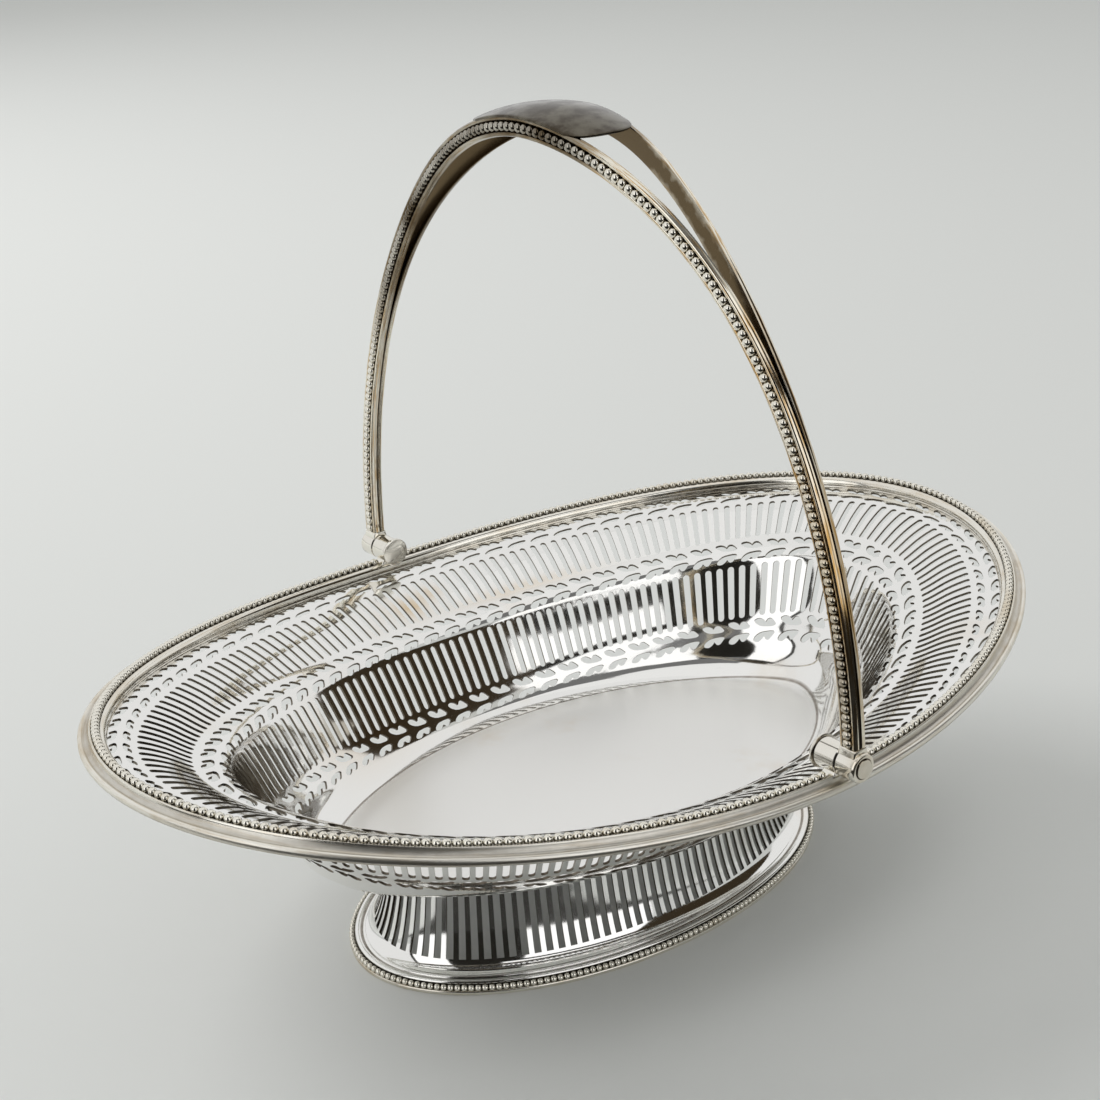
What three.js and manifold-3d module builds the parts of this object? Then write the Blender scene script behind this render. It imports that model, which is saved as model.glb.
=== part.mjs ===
// Oval silver-plated basket: a pierced boat-shaped dish on a pierced flared foot, with a beaded border
// and a swing handle made of two beaded ribs that part at the crown under a plain grip plate.
// Millimetres. X is the long axis, Y the short one, +Z up. The origin is under the foot's middle.
// The feature that takes the most skill is the piercing: three bands of slots cut through curved sheet.
import * as THREE from "three";
import Module from "manifold-3d";
import { mergeVertices } from "three/addons/utils/BufferGeometryUtils.js";

// Sheet, seats and running fits
const sheet = 0.9;
const seatGap = 0.3;
const runningGap = 0.1;

// Oval of the rim, taken at the middle of its bead row, and its lift towards the two long ends
const rimHalfLength = 178;
const rimHalfWidth = 123.45;
const rimEndLift = 15.3;
const liftPower = 1.71;

// Dish, from the floor up: how far each band climbs at the short axis
const coveClimb = 0.7;
const innerLeafStart = 1.5;
const innerLeafClimb = 6.3;
const wallSlotClimb = 18.6;
const shoulderClimb = 6.6;
const flangeSlotClimb = 8.2;
const outerLeafClimb = 2.9;
const borderClimb = 5.4;
const shoulderCrown = 1;

// Dish, from the rim inwards: how far each band runs at the short axis
const borderRun = 4.5;
const outerLeafRun = 8;
const flangeSlotRun = 17.7;
const shoulderRun = 11.3;
const wallSlotRun = 11.5;
const innerLeafRun = 5;
const coveRun = 3;
const floorRun = 4.5;

// Slots, all with parallel sides and square ends here
const flangeSlotCount = 185;
const flangeSlotWidth = 2.1;
const wallSlotCount = 150;
const wallSlotWidth = 2.1;
const footSlotCount = 104;
const footSlotWidth = 2.35;

// Border of the rim
const sheetEdgeReach = 3;
const borderSheetSlope = 0.25;
const rimBeadRadius = 1.4;
const lipReach = 6;
const lipDrop = 4.7;
const filletReach = 2.4;
const filletDrop = 1;
const innerReedRadius = 0.6;
const lipThickness = 2.4;
const lipRound = 0.7;
const hollowRun = 1.4;

// Long ends of the dish: what they add to the inset of each line, and how far the line lifts there
const flangeHeadEndInset = 0.5;
const flangeHeadEndLift = 16.6;
const shoulderTopEndInset = -1.8;
const shoulderTopEndLift = 16.7;
const shoulderMiddleEndInset = -0.6;
const shoulderMiddleEndLift = 16.7;
const wallHeadEndInset = 0.5;
const wallHeadEndLift = 16.5;
const wallFootEndInset = -2;
const wallFootEndLift = 15.3;
const innerLeafEndLift = 12.9;
const coveEndInset = 2.2;
const coveEndLift = 5.5;
const floorEndInset = 7.5;

// Foot, on the oval of its outermost edge
const footHalfLength = 99.9;
const footHalfWidth = 60.3;
const baseWireHeight = 1.2;
const baseWireWidth = 2.2;
const baseWireRound = 0.3;
const footBeadRadius = 1.05;
const footBeadInset = 0.9;
const footMouldingWidth = 4.3;
const footMouldingHeight = 4.1;
const footReedWidth = 1.8;
const footReedRound = 1;
const footGrooveDepth = 0.8;
const footGrooveRun = 0.6;
const footFlareClimb = 3.6;
const footSlotClimb = 21.7;
const collarClimb = 9;
const footStepWidth = 3;
const footFlareRun = 4.1;
const footSlotRun = 3.9;
const collarRun = 2.5;

// Handle: an arch of two ribs, back to back on the legs and bowed apart at the crown
const legOutsideBeads = 6.75;
const handleRise = 183;
const legFullness = 1.07;
const crownSpread = 11.9;
const spreadPower = 6.7;
const ribThickness = 2.4;
const ribHalfWidth = 3.4;
const ribReedShoulder = 1.8;
const ribReedTaper = 0.1;
const ribChannelDepth = 1.65;
const ribChannelHalfWidth = 1.5;
const ribBeadRadius = 1.15;
const handleLean = -1.3;
const gripSideHalfLength = 30.6;
const gripLobe = 4.8;
const gripOverhang = 0.2;

// Hinges
const hingeOverRim = 4.4;
const barrelRadius = 4.9;
const barrelInsideBeads = 5.45;
const knuckleLength = 7.8;
const pinRadius = 2;
const pinDiscRadius = 5.6;
const pinDiscThickness = 1.2;
const pinHeadRadius = 3.15;
const pinHeadThickness = 1;
const pinHeadRound = 0.6;
const pinDiscRound = 0.4;
const knuckleRound = 0.7;
const pinCover = 1;
const socketHeight = 1.3;
const saddleHalfLength = 4.2;

// Facets
const ovalSteps = 40;
const wireSides = 5;
const innerReedSides = 4;
const ribSteps = 24;
const gripSteps = 8;
const gripColumns = 6;
const hingeSides = 12;

// Heights that follow from the bands
const flareStart = footMouldingHeight + seatGap;
const footSlotFoot = flareStart + footFlareClimb;
const footSlotHead = footSlotFoot + footSlotClimb;
const footTop = footSlotHead + collarClimb;
const floorTop = footTop + seatGap + sheet;
const innerLeafFoot = floorTop + coveClimb + innerLeafStart;
const wallSlotFoot = innerLeafFoot + innerLeafClimb;
const wallSlotHead = wallSlotFoot + wallSlotClimb;
const shoulderTop = wallSlotHead + shoulderClimb;
const flangeSlotHead = shoulderTop + flangeSlotClimb;
const outerLeafTop = flangeSlotHead + outerLeafClimb;
const rimHeight = outerLeafTop + borderClimb;
const hingeHeight = rimHeight + hingeOverRim;

const wasm = await Module();
wasm.setup();

// Finishes
const brightSilver = { color: 0xd9d6cc, roughness: 0.16, metalness: 1 };
const tarnishedSilver = { color: 0xb3a88f, roughness: 0.28, metalness: 1 };
const darkSilver = { color: 0x77706a, roughness: 0.35, metalness: 1 };

const part = new THREE.Group();
const handle = new THREE.Group();

function addMesh(group, name, geometry, finish) {
  const mesh = new THREE.Mesh(geometry, new THREE.MeshStandardMaterial(finish));
  mesh.name = name;
  group.add(mesh);
  return mesh;
}

// A closed surface, gathered triangle by triangle
class Surface {
  constructor() {
    this.points = [];
    this.faces = [];
  }

  add(point) {
    this.points.push(point);
    return this.points.length - 1;
  }

  addAll(points) {
    return points.map((point) => this.add(point));
  }

  face(a, b, c) {
    this.faces.push(a, b, c);
  }

  quad(a, b, c, d) {
    this.face(a, b, c);
    this.face(a, c, d);
  }

  // Joins two closed loops of the same count with quads
  band(lower, upper) {
    const count = lower.length;
    for (let i = 0; i < count; i++) {
      const next = (i + 1) % count;
      this.quad(lower[i], lower[next], upper[next], upper[i]);
    }
  }

  // Joins two closed loops of any counts; each has its angle for every point, growing from the first
  weave(lower, lowerAngles, upper, upperAngles) {
    let i = 0;
    let j = 0;
    const angleAt = (angles, k) => angles[k % angles.length] + 2 * Math.PI * Math.floor(k / angles.length);
    while (i < lower.length || j < upper.length) {
      const a = lower[i % lower.length];
      const b = upper[j % upper.length];
      const stepLower = j === upper.length
        || (i < lower.length && angleAt(lowerAngles, i + 1) <= angleAt(upperAngles, j + 1));
      if (stepLower) {
        i++;
        this.face(a, lower[i % lower.length], b);
      } else {
        j++;
        this.face(a, upper[j % upper.length], b);
      }
    }
  }

  // Closes a loop with a fan from its middle
  fan(loop, middle, forwards) {
    for (let i = 0; i < loop.length; i++) {
      const next = (i + 1) % loop.length;
      if (forwards) this.face(loop[i], loop[next], middle);
      else this.face(loop[next], loop[i], middle);
    }
  }

  geometry() {
    const geometry = new THREE.BufferGeometry();
    const positions = this.points.flatMap((point) => point.toArray());
    geometry.setAttribute("position", new THREE.Float32BufferAttribute(positions, 3));
    geometry.setIndex(this.volume() < 0 ? this.turned() : this.faces);
    geometry.computeVertexNormals();
    return geometry;
  }

  volume() {
    let sum = 0;
    const cross = new THREE.Vector3();
    for (let i = 0; i < this.faces.length; i += 3) {
      const [a, b, c] = [0, 1, 2].map((k) => this.points[this.faces[i + k]]);
      sum += cross.crossVectors(b, c).dot(a) / 6;
    }
    return sum;
  }

  turned() {
    const out = [];
    for (let i = 0; i < this.faces.length; i += 3) {
      out.push(this.faces[i], this.faces[i + 2], this.faces[i + 1]);
    }
    return out;
  }
}

// An oval in plan, with a height that may lift towards its long ends.
// Points are placed by the angle, the inset along the plan normal, the height and a step along the oval.
class Oval {
  constructor(halfLength, halfWidth) {
    this.halfLength = halfLength;
    this.halfWidth = halfWidth;
  }

  outward(angle) {
    const normal = new THREE.Vector3(this.halfWidth * Math.cos(angle), this.halfLength * Math.sin(angle), 0);
    return normal.normalize();
  }

  along(angle) {
    const normal = this.outward(angle);
    return new THREE.Vector3(-normal.y, normal.x, 0);
  }

  point(angle, inset, height, sideways = 0) {
    return new THREE.Vector3(this.halfLength * Math.cos(angle), this.halfWidth * Math.sin(angle), height)
      .addScaledVector(this.outward(angle), -inset)
      .addScaledVector(this.along(angle), sideways);
  }

  // Angles that share out a ring at this inset evenly by length
  evenAngles(count, inset) {
    const samples = 2880;
    const lengths = [0];
    let last = this.point(0, inset, 0);
    for (let i = 1; i <= samples; i++) {
      const next = this.point(2 * Math.PI * i / samples, inset, 0);
      lengths.push(lengths[i - 1] + next.distanceTo(last));
      last = next;
    }
    const angles = [];
    let i = 0;
    for (let k = 0; k < count; k++) {
      const wanted = lengths[samples] * (k + 0.5) / count;
      while (lengths[i + 1] < wanted) i++;
      const share = (wanted - lengths[i]) / (lengths[i + 1] - lengths[i]);
      angles.push(2 * Math.PI * (i + share) / samples);
    }
    return angles;
  }
}

const rimOval = new Oval(rimHalfLength, rimHalfWidth);
const footOval = new Oval(footHalfLength, footHalfWidth);
const stepAngles = Array.from({ length: ovalSteps }, (_, i) => 2 * Math.PI * i / ovalSteps);

// How much of the lift a place on the oval takes: none at the short axis, all at the long ends
function lift(angle) {
  return Math.abs(Math.cos(angle)) ** liftPower;
}

// A sheet that follows a profile of stations round an oval. Each station has its inset and height at the
// short axis and what the long ends add to them. The wall's other face lies one thickness behind.
class OvalSheet {
  constructor(oval, stations, thickness, behind) {
    this.oval = oval;
    this.stations = stations;
    this.thickness = thickness;
    this.behind = behind;
    this.surface = new Surface();
  }

  profile(station, angle) {
    const end = Math.cos(angle) ** 2;
    return new THREE.Vector2(
      station.inset + (station.endInset ?? 0) * end,
      station.height + (station.endLift ?? 0) * lift(angle),
    );
  }

  // The step from a station to the wall's other face, square to the profile on both sides of the station.
  // A sheet's end may be cut level instead.
  wallStep(index, angle) {
    const here = this.profile(this.stations[index], angle);
    const normals = [];
    for (const other of [index - 1, index + 1]) {
      if (!this.stations[other]) continue;
      const line = this.profile(this.stations[other], angle).sub(here);
      line.multiplyScalar(other - index).normalize();
      normals.push(new THREE.Vector2(line.y, -line.x).multiplyScalar(this.behind));
    }
    const sum = normals.reduce((a, b) => a.clone().add(b));
    if (this.stations[index].levelCut) return new THREE.Vector2(this.thickness / sum.x, 0);
    return sum.multiplyScalar(this.thickness / sum.dot(normals[0]));
  }

  place(index, angle, sideways, back) {
    const spot = this.profile(this.stations[index], angle);
    if (back) spot.add(this.wallStep(index, angle));
    return this.oval.point(angle, spot.x, spot.y, sideways);
  }

  // A plain ring of the sheet at a station, on both faces
  ring(index) {
    const make = (back) => this.surface.addAll(stepAngles.map((angle) => this.place(index, angle, 0, back)));
    return { front: make(false), back: make(true), angles: stepAngles };
  }

  // Two rings joined by bars, with a slot between each two bars
  slots(outer, inner, angles, width) {
    const make = (index, back) => this.surface.addAll(
      angles.flatMap((angle) => [
        this.place(index, angle, -width / 2, back),
        this.place(index, angle, width / 2, back),
      ]),
    );
    const half = angles.map((angle, i) => {
      const next = angles[(i + 1) % angles.length] + (i + 1 < angles.length ? 0 : 2 * Math.PI);
      return (next - angle) / 4;
    });
    const both = angles.flatMap((angle, i) => [angle - half[i], angle + half[i]]);
    const slotRing = (index) => ({ front: make(index, false), back: make(index, true), angles: both });
    const a = slotRing(outer);
    const b = slotRing(inner);
    const count = both.length;
    for (let i = 0; i < count; i += 2) {
      const left = i;
      const right = i + 1;
      const next = (i + 2) % count;
      this.surface.quad(a.front[right], a.front[next], b.front[next], b.front[right]);
      this.surface.quad(a.back[next], a.back[right], b.back[right], b.back[next]);
      this.surface.quad(a.front[left], a.front[right], a.back[right], a.back[left]);
      this.surface.quad(b.front[right], b.front[left], b.back[left], b.back[right]);
      this.surface.quad(b.front[left], a.front[left], a.back[left], b.back[left]);
      this.surface.quad(a.front[right], b.front[right], b.back[right], a.back[right]);
    }
    return [a, b];
  }

  // A plain stretch between two rings, on both faces
  stretch(outer, inner) {
    this.surface.weave(outer.front, outer.angles, inner.front, inner.angles);
    this.surface.weave(inner.back, inner.angles, outer.back, outer.angles);
  }

  edge(ring, first) {
    if (first) this.surface.band(ring.back, ring.front);
    else this.surface.band(ring.front, ring.back);
  }
}

// Stations of the dish, from the sheet's outer edge under the border to the floor
const slotInset = borderRun + outerLeafRun;
const shoulderInset = slotInset + flangeSlotRun;
const wallInset = shoulderInset + shoulderRun;
const innerLeafInset = wallInset + wallSlotRun;
const coveInset = innerLeafInset + innerLeafRun;
const floorInset = coveInset + coveRun + floorRun;
const sheetEdgeHeight = outerLeafTop + (borderRun + sheetEdgeReach) * borderSheetSlope;
const dishStations = [
  { inset: -sheetEdgeReach, height: sheetEdgeHeight, endLift: rimEndLift },
  { inset: borderRun, height: outerLeafTop, endLift: rimEndLift },
  { inset: slotInset, endInset: flangeHeadEndInset, height: flangeSlotHead, endLift: flangeHeadEndLift },
  { inset: shoulderInset, endInset: shoulderTopEndInset, height: shoulderTop, endLift: shoulderTopEndLift },
  {
    inset: shoulderInset + shoulderRun / 2,
    endInset: shoulderMiddleEndInset,
    height: (shoulderTop + wallSlotHead) / 2 + shoulderCrown,
    endLift: shoulderMiddleEndLift,
  },
  { inset: wallInset, endInset: wallHeadEndInset, height: wallSlotHead, endLift: wallHeadEndLift },
  { inset: innerLeafInset, endInset: wallFootEndInset, height: wallSlotFoot, endLift: wallFootEndLift },
  { inset: coveInset, height: innerLeafFoot, endLift: innerLeafEndLift },
  {
    inset: coveInset + coveRun,
    endInset: coveEndInset,
    height: floorTop + coveClimb,
    endLift: coveEndLift,
  },
  { inset: floorInset, endInset: floorEndInset, height: floorTop },
];

function dish() {
  const shell = new OvalSheet(rimOval, dishStations, sheet, 1);
  const edge = shell.ring(0);
  const border = shell.ring(1);
  const flangeAngles = rimOval.evenAngles(flangeSlotCount, slotInset);
  const [flangeOut, flangeIn] = shell.slots(2, 3, flangeAngles, flangeSlotWidth);
  const shoulder = shell.ring(4);
  const wallAngles = rimOval.evenAngles(wallSlotCount, wallInset);
  const [wallHead, wallFoot] = shell.slots(5, 6, wallAngles, wallSlotWidth);
  const leafFoot = shell.ring(7);
  const cove = shell.ring(8);
  const floor = shell.ring(9);
  shell.edge(edge, true);
  shell.stretch(edge, border);
  shell.stretch(border, flangeOut);
  shell.stretch(flangeIn, shoulder);
  shell.stretch(shoulder, wallHead);
  shell.stretch(wallFoot, leafFoot);
  shell.stretch(leafFoot, cove);
  shell.stretch(cove, floor);
  shell.surface.fan(floor.front, shell.surface.add(new THREE.Vector3(0, 0, floorTop)), true);
  shell.surface.fan(floor.back, shell.surface.add(new THREE.Vector3(0, 0, floorTop - sheet)), false);
  return shell.surface.geometry();
}

// Foot wall: flared skirt, slots and plain collar, from the moulding up to the dish's underside
const mouldingInset = baseWireWidth + seatGap;
const skirtInset = mouldingInset + footStepWidth;
const footSlotFootInset = skirtInset + footFlareRun;
const footSlotHeadInset = footSlotFootInset + footSlotRun;
const collarInset = footSlotHeadInset + collarRun;
const footStations = [
  { inset: collarInset, height: footTop, levelCut: true },
  { inset: footSlotHeadInset, height: footSlotHead },
  { inset: footSlotFootInset, height: footSlotFoot },
  { inset: skirtInset, height: flareStart, levelCut: true },
];

function footWall() {
  const shell = new OvalSheet(footOval, footStations, sheet, -1);
  const top = shell.ring(0);
  const angles = footOval.evenAngles(footSlotCount, footSlotFootInset);
  const [head, foot] = shell.slots(1, 2, angles, footSlotWidth);
  const skirt = shell.ring(3);
  shell.edge(top, true);
  shell.stretch(top, head);
  shell.stretch(foot, skirt);
  shell.edge(skirt, false);
  return shell.surface.geometry();
}

// A moulding: a profile of inset and height swept round an oval, or along part of it with closed ends
function moulding(oval, profile, heightAt, angles = stepAngles, closed = true) {
  const surface = new Surface();
  const rings = angles.map((angle) => surface.addAll(
    profile.map(([inset, height]) => oval.point(angle, inset, heightAt(angle) + height)),
  ));
  const last = closed ? rings.length : rings.length - 1;
  for (let i = 0; i < last; i++) surface.band(rings[i], rings[(i + 1) % rings.length]);
  if (!closed) {
    closeEnd(surface, rings[0], false);
    closeEnd(surface, rings[rings.length - 1], true);
  }
  return surface.geometry();
}

// Closes the end of a swept profile, which may have hollows, with the triangles that three.js finds for it
function closeEnd(surface, ring, forwards) {
  const origin = surface.points[ring[0]];
  const first = surface.points[ring[1]].clone().sub(origin).normalize();
  let second = new THREE.Vector3();
  for (const index of ring) {
    const arm = surface.points[index].clone().sub(origin);
    arm.addScaledVector(first, -arm.dot(first));
    if (arm.length() > second.length()) second = arm;
  }
  second.normalize();
  const flat = ring.map((index) => {
    const arm = surface.points[index].clone().sub(origin);
    return new THREE.Vector2(arm.dot(first), arm.dot(second));
  });
  const turns = THREE.ShapeUtils.isClockWise(flat) ? -1 : 1;
  const faces = THREE.ShapeUtils.triangulateShape(turns < 0 ? [...flat].reverse() : flat, []);
  const order = turns < 0 ? [...ring].reverse() : ring;
  for (const [a, b, c] of faces) {
    if (forwards === (turns > 0)) surface.face(order[a], order[b], order[c]);
    else surface.face(order[c], order[b], order[a]);
  }
}

function wireProfile(radius, inset = 0, height = 0, sides = wireSides) {
  return Array.from({ length: sides }, (_, i) => {
    const turn = 2 * Math.PI * (i + 0.5) / sides;
    return [inset + radius * Math.cos(turn), height + radius * Math.sin(turn)];
  });
}

const rimLine = (angle) => rimHeight + rimEndLift * lift(angle);

// Height of the sheet under the border, seen from the bead row's middle
function sheetUnderBorder(inset) {
  return sheetEdgeHeight - rimHeight - (inset + sheetEdgeReach) * borderSheetSlope;
}

const beadSeat = -(rimBeadRadius + seatGap);
const seatHalfWidth = rimBeadRadius + seatGap;
const toeInset = borderRun - 2 * innerReedRadius - seatGap;
const lipInner = sheetEdgeReach + seatGap;

// Border from its turned-under lip over the outer reed, hollow, fillet and bead seat to the toe on the sheet
const borderProfile = [
  [-lipReach + lipRound, -lipDrop],
  [-lipReach, -lipDrop + lipThickness / 2],
  [-lipReach + lipRound, -lipDrop + lipThickness],
  [-filletReach - hollowRun, -lipDrop + lipThickness],
  [-filletReach, -filletDrop],
  [-seatHalfWidth, beadSeat],
  [seatHalfWidth, beadSeat],
  [toeInset, sheetUnderBorder(toeInset) + seatGap],
  [-lipInner, sheetUnderBorder(-lipInner) + seatGap],
  [-lipInner, -lipDrop],
];

const reedInset = toeInset + seatGap + innerReedRadius;
const reedHeight = sheetUnderBorder(reedInset) + seatGap + innerReedRadius;
addMesh(part, "dish", dish(), brightSilver);
addMesh(part, "rim_border", moulding(rimOval, borderProfile, rimLine), tarnishedSilver);
addMesh(
  part,
  "rim_inner_reed",
  moulding(rimOval, wireProfile(innerReedRadius, reedInset, reedHeight, innerReedSides), rimLine),
  brightSilver,
);

// The bead row stops each side of the hinge saddles
const hingeHalfGap = barrelRadius + seatGap;
const gapAngle = Math.asin(hingeHalfGap / rimHalfLength);
for (const [name, middle] of [["rim_beading_right", 0], ["rim_beading_left", Math.PI]]) {
  const reach = Math.PI / 2 - gapAngle;
  const steps = ovalSteps / 2;
  const angles = Array.from({ length: steps + 1 }, (_, i) => middle - reach + 2 * reach * i / steps);
  const beading = moulding(rimOval, wireProfile(rimBeadRadius), rimLine, angles, false);
  addMesh(part, name, beading, tarnishedSilver);
}

// Foot pieces
const level = () => 0;
const footBeadHeight = baseWireHeight + seatGap + footBeadRadius;
const footMouldingProfile = [
  [mouldingInset, 0],
  [mouldingInset, footMouldingHeight - footReedRound],
  [mouldingInset + footReedWidth / 2, footMouldingHeight],
  [mouldingInset + footReedWidth, footMouldingHeight - footGrooveDepth],
  [mouldingInset + footReedWidth + footGrooveRun, footMouldingHeight],
  [mouldingInset + footMouldingWidth, footMouldingHeight],
  [mouldingInset + footMouldingWidth, 0],
];
const baseWireProfile = [
  [baseWireRound, 0],
  [0, baseWireHeight / 2],
  [baseWireRound, baseWireHeight],
  [baseWireWidth, baseWireHeight],
  [baseWireWidth, 0],
];
addMesh(part, "foot_wall", footWall(), brightSilver);
addMesh(part, "foot_moulding", moulding(footOval, footMouldingProfile, level), brightSilver);
addMesh(part, "foot_base_wire", moulding(footOval, baseWireProfile, level), tarnishedSilver);
addMesh(
  part,
  "foot_beading",
  moulding(footOval, wireProfile(footBeadRadius, footBeadInset, footBeadHeight), level),
  tarnishedSilver,
);

const handleHalfSpan = rimHalfWidth + legOutsideBeads;

// Handle arch: where its middle line runs, which way is outwards, and how far each rib bows sideways.
// The turn goes from nothing at the leg on the -Y side to half a turn at the other leg.
function archPoint(turn) {
  const across = Math.cos(turn);
  return new THREE.Vector2(
    -handleHalfSpan * Math.sign(across) * Math.abs(across) ** legFullness,
    handleRise * Math.sin(turn),
  );
}

function archOutward(turn) {
  const step = 1e-3;
  const run = archPoint(turn + step).sub(archPoint(turn - step)).normalize();
  return new THREE.Vector2(-run.y, run.x);
}

function bow(turn) {
  return crownSpread * Math.sin(turn) ** spreadPower;
}

function ribPlace(turn, side, sideways, outwards) {
  const spot = archPoint(turn).addScaledVector(archOutward(turn), outwards);
  return new THREE.Vector3(side * (bow(turn) + sideways), spot.x, spot.y);
}

const socketTop = barrelRadius + socketHeight;
const ribStart = Math.asin((socketTop + seatGap) / handleRise);

function alongRib(side, section) {
  const surface = new Surface();
  const rings = [];
  for (let i = 0; i <= ribSteps; i++) {
    const turn = ribStart + (Math.PI - 2 * ribStart) * i / ribSteps;
    const ring = section.map(([sideways, outwards]) => ribPlace(turn, side, sideways, outwards));
    rings.push(surface.addAll(ring));
  }
  for (let i = 0; i < ribSteps; i++) surface.band(rings[i], rings[i + 1]);
  closeEnd(surface, rings[0], false);
  closeEnd(surface, rings[ribSteps], true);
  return surface.geometry();
}

// Rib section: a flat back, two rounded reeds and the bead channel between them
const ribBack = seatGap / 2;
const channelFloor = ribBack + ribThickness - ribChannelDepth;
const ribSection = [
  [ribBack, -ribHalfWidth + ribReedTaper],
  [ribBack + ribReedShoulder, -ribHalfWidth],
  [ribBack + ribThickness, -(ribHalfWidth + ribChannelHalfWidth) / 2],
  [ribBack + ribReedShoulder, -ribChannelHalfWidth - ribReedTaper],
  [channelFloor, -ribChannelHalfWidth],
  [channelFloor, ribChannelHalfWidth],
  [ribBack + ribReedShoulder, ribChannelHalfWidth + ribReedTaper],
  [ribBack + ribThickness, (ribHalfWidth + ribChannelHalfWidth) / 2],
  [ribBack + ribReedShoulder, ribHalfWidth],
  [ribBack, ribHalfWidth - ribReedTaper],
];
const ribBeadSection = wireProfile(ribBeadRadius, channelFloor + seatGap + ribBeadRadius, 0);
for (const [name, side] of [["right", 1], ["left", -1]]) {
  addMesh(handle, "handle_rib_" + name, alongRib(side, ribSection), tarnishedSilver);
  addMesh(handle, "rib_beading_" + name, alongRib(side, ribBeadSection), tarnishedSilver);
}

// Grip plate: a curved sheet on the ribs' outer edges, with a rounded lobe at each end
function gripPlate() {
  const surface = new Surface();
  const seat = ribHalfWidth + seatGap;
  const turnAt = (y) => Math.acos(Math.sign(-y) * Math.abs(y / handleHalfSpan) ** (1 / legFullness));
  const place = (i, j, outwards) => {
    const across = 2 * j / gripColumns - 1;
    const reach = gripSideHalfLength + gripLobe * Math.sqrt(1 - across * across);
    const turn = turnAt(-reach) + (turnAt(reach) - turnAt(-reach)) * i / gripSteps;
    const spot = archPoint(turn).addScaledVector(archOutward(turn), outwards);
    const half = bow(turn) + ribBack + ribThickness + gripOverhang;
    return new THREE.Vector3(across * half, spot.x, spot.y);
  };
  const grid = (outwards) => Array.from({ length: gripSteps + 1 }, (_, i) =>
    Array.from({ length: gripColumns + 1 }, (_, j) => surface.add(place(i, j, outwards))));
  const under = grid(seat);
  const over = grid(seat + sheet);
  for (let i = 0; i < gripSteps; i++) {
    for (let j = 0; j < gripColumns; j++) {
      surface.quad(over[i][j], over[i][j + 1], over[i + 1][j + 1], over[i + 1][j]);
      surface.quad(under[i][j + 1], under[i][j], under[i + 1][j], under[i + 1][j + 1]);
    }
    const last = gripColumns;
    surface.quad(under[i][0], over[i][0], over[i + 1][0], under[i + 1][0]);
    surface.quad(over[i][last], under[i][last], under[i + 1][last], over[i + 1][last]);
  }
  for (let j = 0; j < gripColumns; j++) {
    surface.quad(under[0][j], under[0][j + 1], over[0][j + 1], over[0][j]);
    surface.quad(over[gripSteps][j], over[gripSteps][j + 1], under[gripSteps][j + 1], under[gripSteps][j]);
  }
  return surface.geometry();
}
addMesh(handle, "handle_grip_plate", gripPlate(), darkSilver);

// Solids that are joined or cut
function solid(geometry) {
  const bare = geometry.index ? geometry.toNonIndexed() : geometry.clone();
  const plain = new THREE.BufferGeometry().setAttribute("position", bare.getAttribute("position"));
  const merged = mergeVertices(plain, 1e-4);
  const vertProperties = new Float32Array(merged.getAttribute("position").array);
  const triVerts = new Uint32Array(merged.index.array);
  return new wasm.Manifold(new wasm.Mesh({ numProp: 3, vertProperties, triVerts }));
}

function shapeOf(manifold) {
  const mesh = manifold.getMesh();
  const geometry = new THREE.BufferGeometry();
  const positions = [];
  for (let i = 0; i < mesh.numVert; i++) {
    for (let k = 0; k < 3; k++) positions.push(mesh.vertProperties[i * mesh.numProp + k]);
  }
  geometry.setAttribute("position", new THREE.Float32BufferAttribute(positions, 3));
  geometry.setIndex(Array.from(mesh.triVerts));
  return geometry;
}

// A round piece about the hinge line: radii and distances out along Y, on the +Y or the -Y side
function turnedOnHinge(profile, side, height) {
  const points = profile.map(([radius, out]) => new THREE.Vector2(radius, out));
  const geometry = new THREE.LatheGeometry(points, hingeSides);
  if (side < 0) geometry.rotateZ(Math.PI);
  return geometry.translate(0, 0, height);
}

function block(x, yLow, yHigh, zLow, zHigh) {
  return new THREE.BoxGeometry(2 * x, yHigh - yLow, zHigh - zLow)
    .translate(0, (yLow + yHigh) / 2, (zLow + zHigh) / 2);
}

function sideBlock(side, x, near, far, zLow, zHigh) {
  return side > 0 ? block(x, near, far, zLow, zHigh) : block(x, -far, -near, zLow, zHigh);
}

// Distances out along Y, from the knuckle under the leg back to the disc inside the rim
const knuckleNear = handleHalfSpan - ribHalfWidth;
const knuckleFar = knuckleNear + knuckleLength;
const barrelFar = knuckleNear - 2 * runningGap;
const barrelNear = rimHalfWidth - barrelInsideBeads;
const discFar = barrelNear - runningGap;
const discNear = discFar - pinDiscThickness;
const headNear = knuckleFar + 2 * runningGap;
const facetSlack = 1 / Math.cos(Math.PI / hingeSides);
const knuckleBore = (pinRadius + runningGap) * facetSlack;
const barrelBore = (pinRadius + seatGap) * facetSlack;

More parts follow.
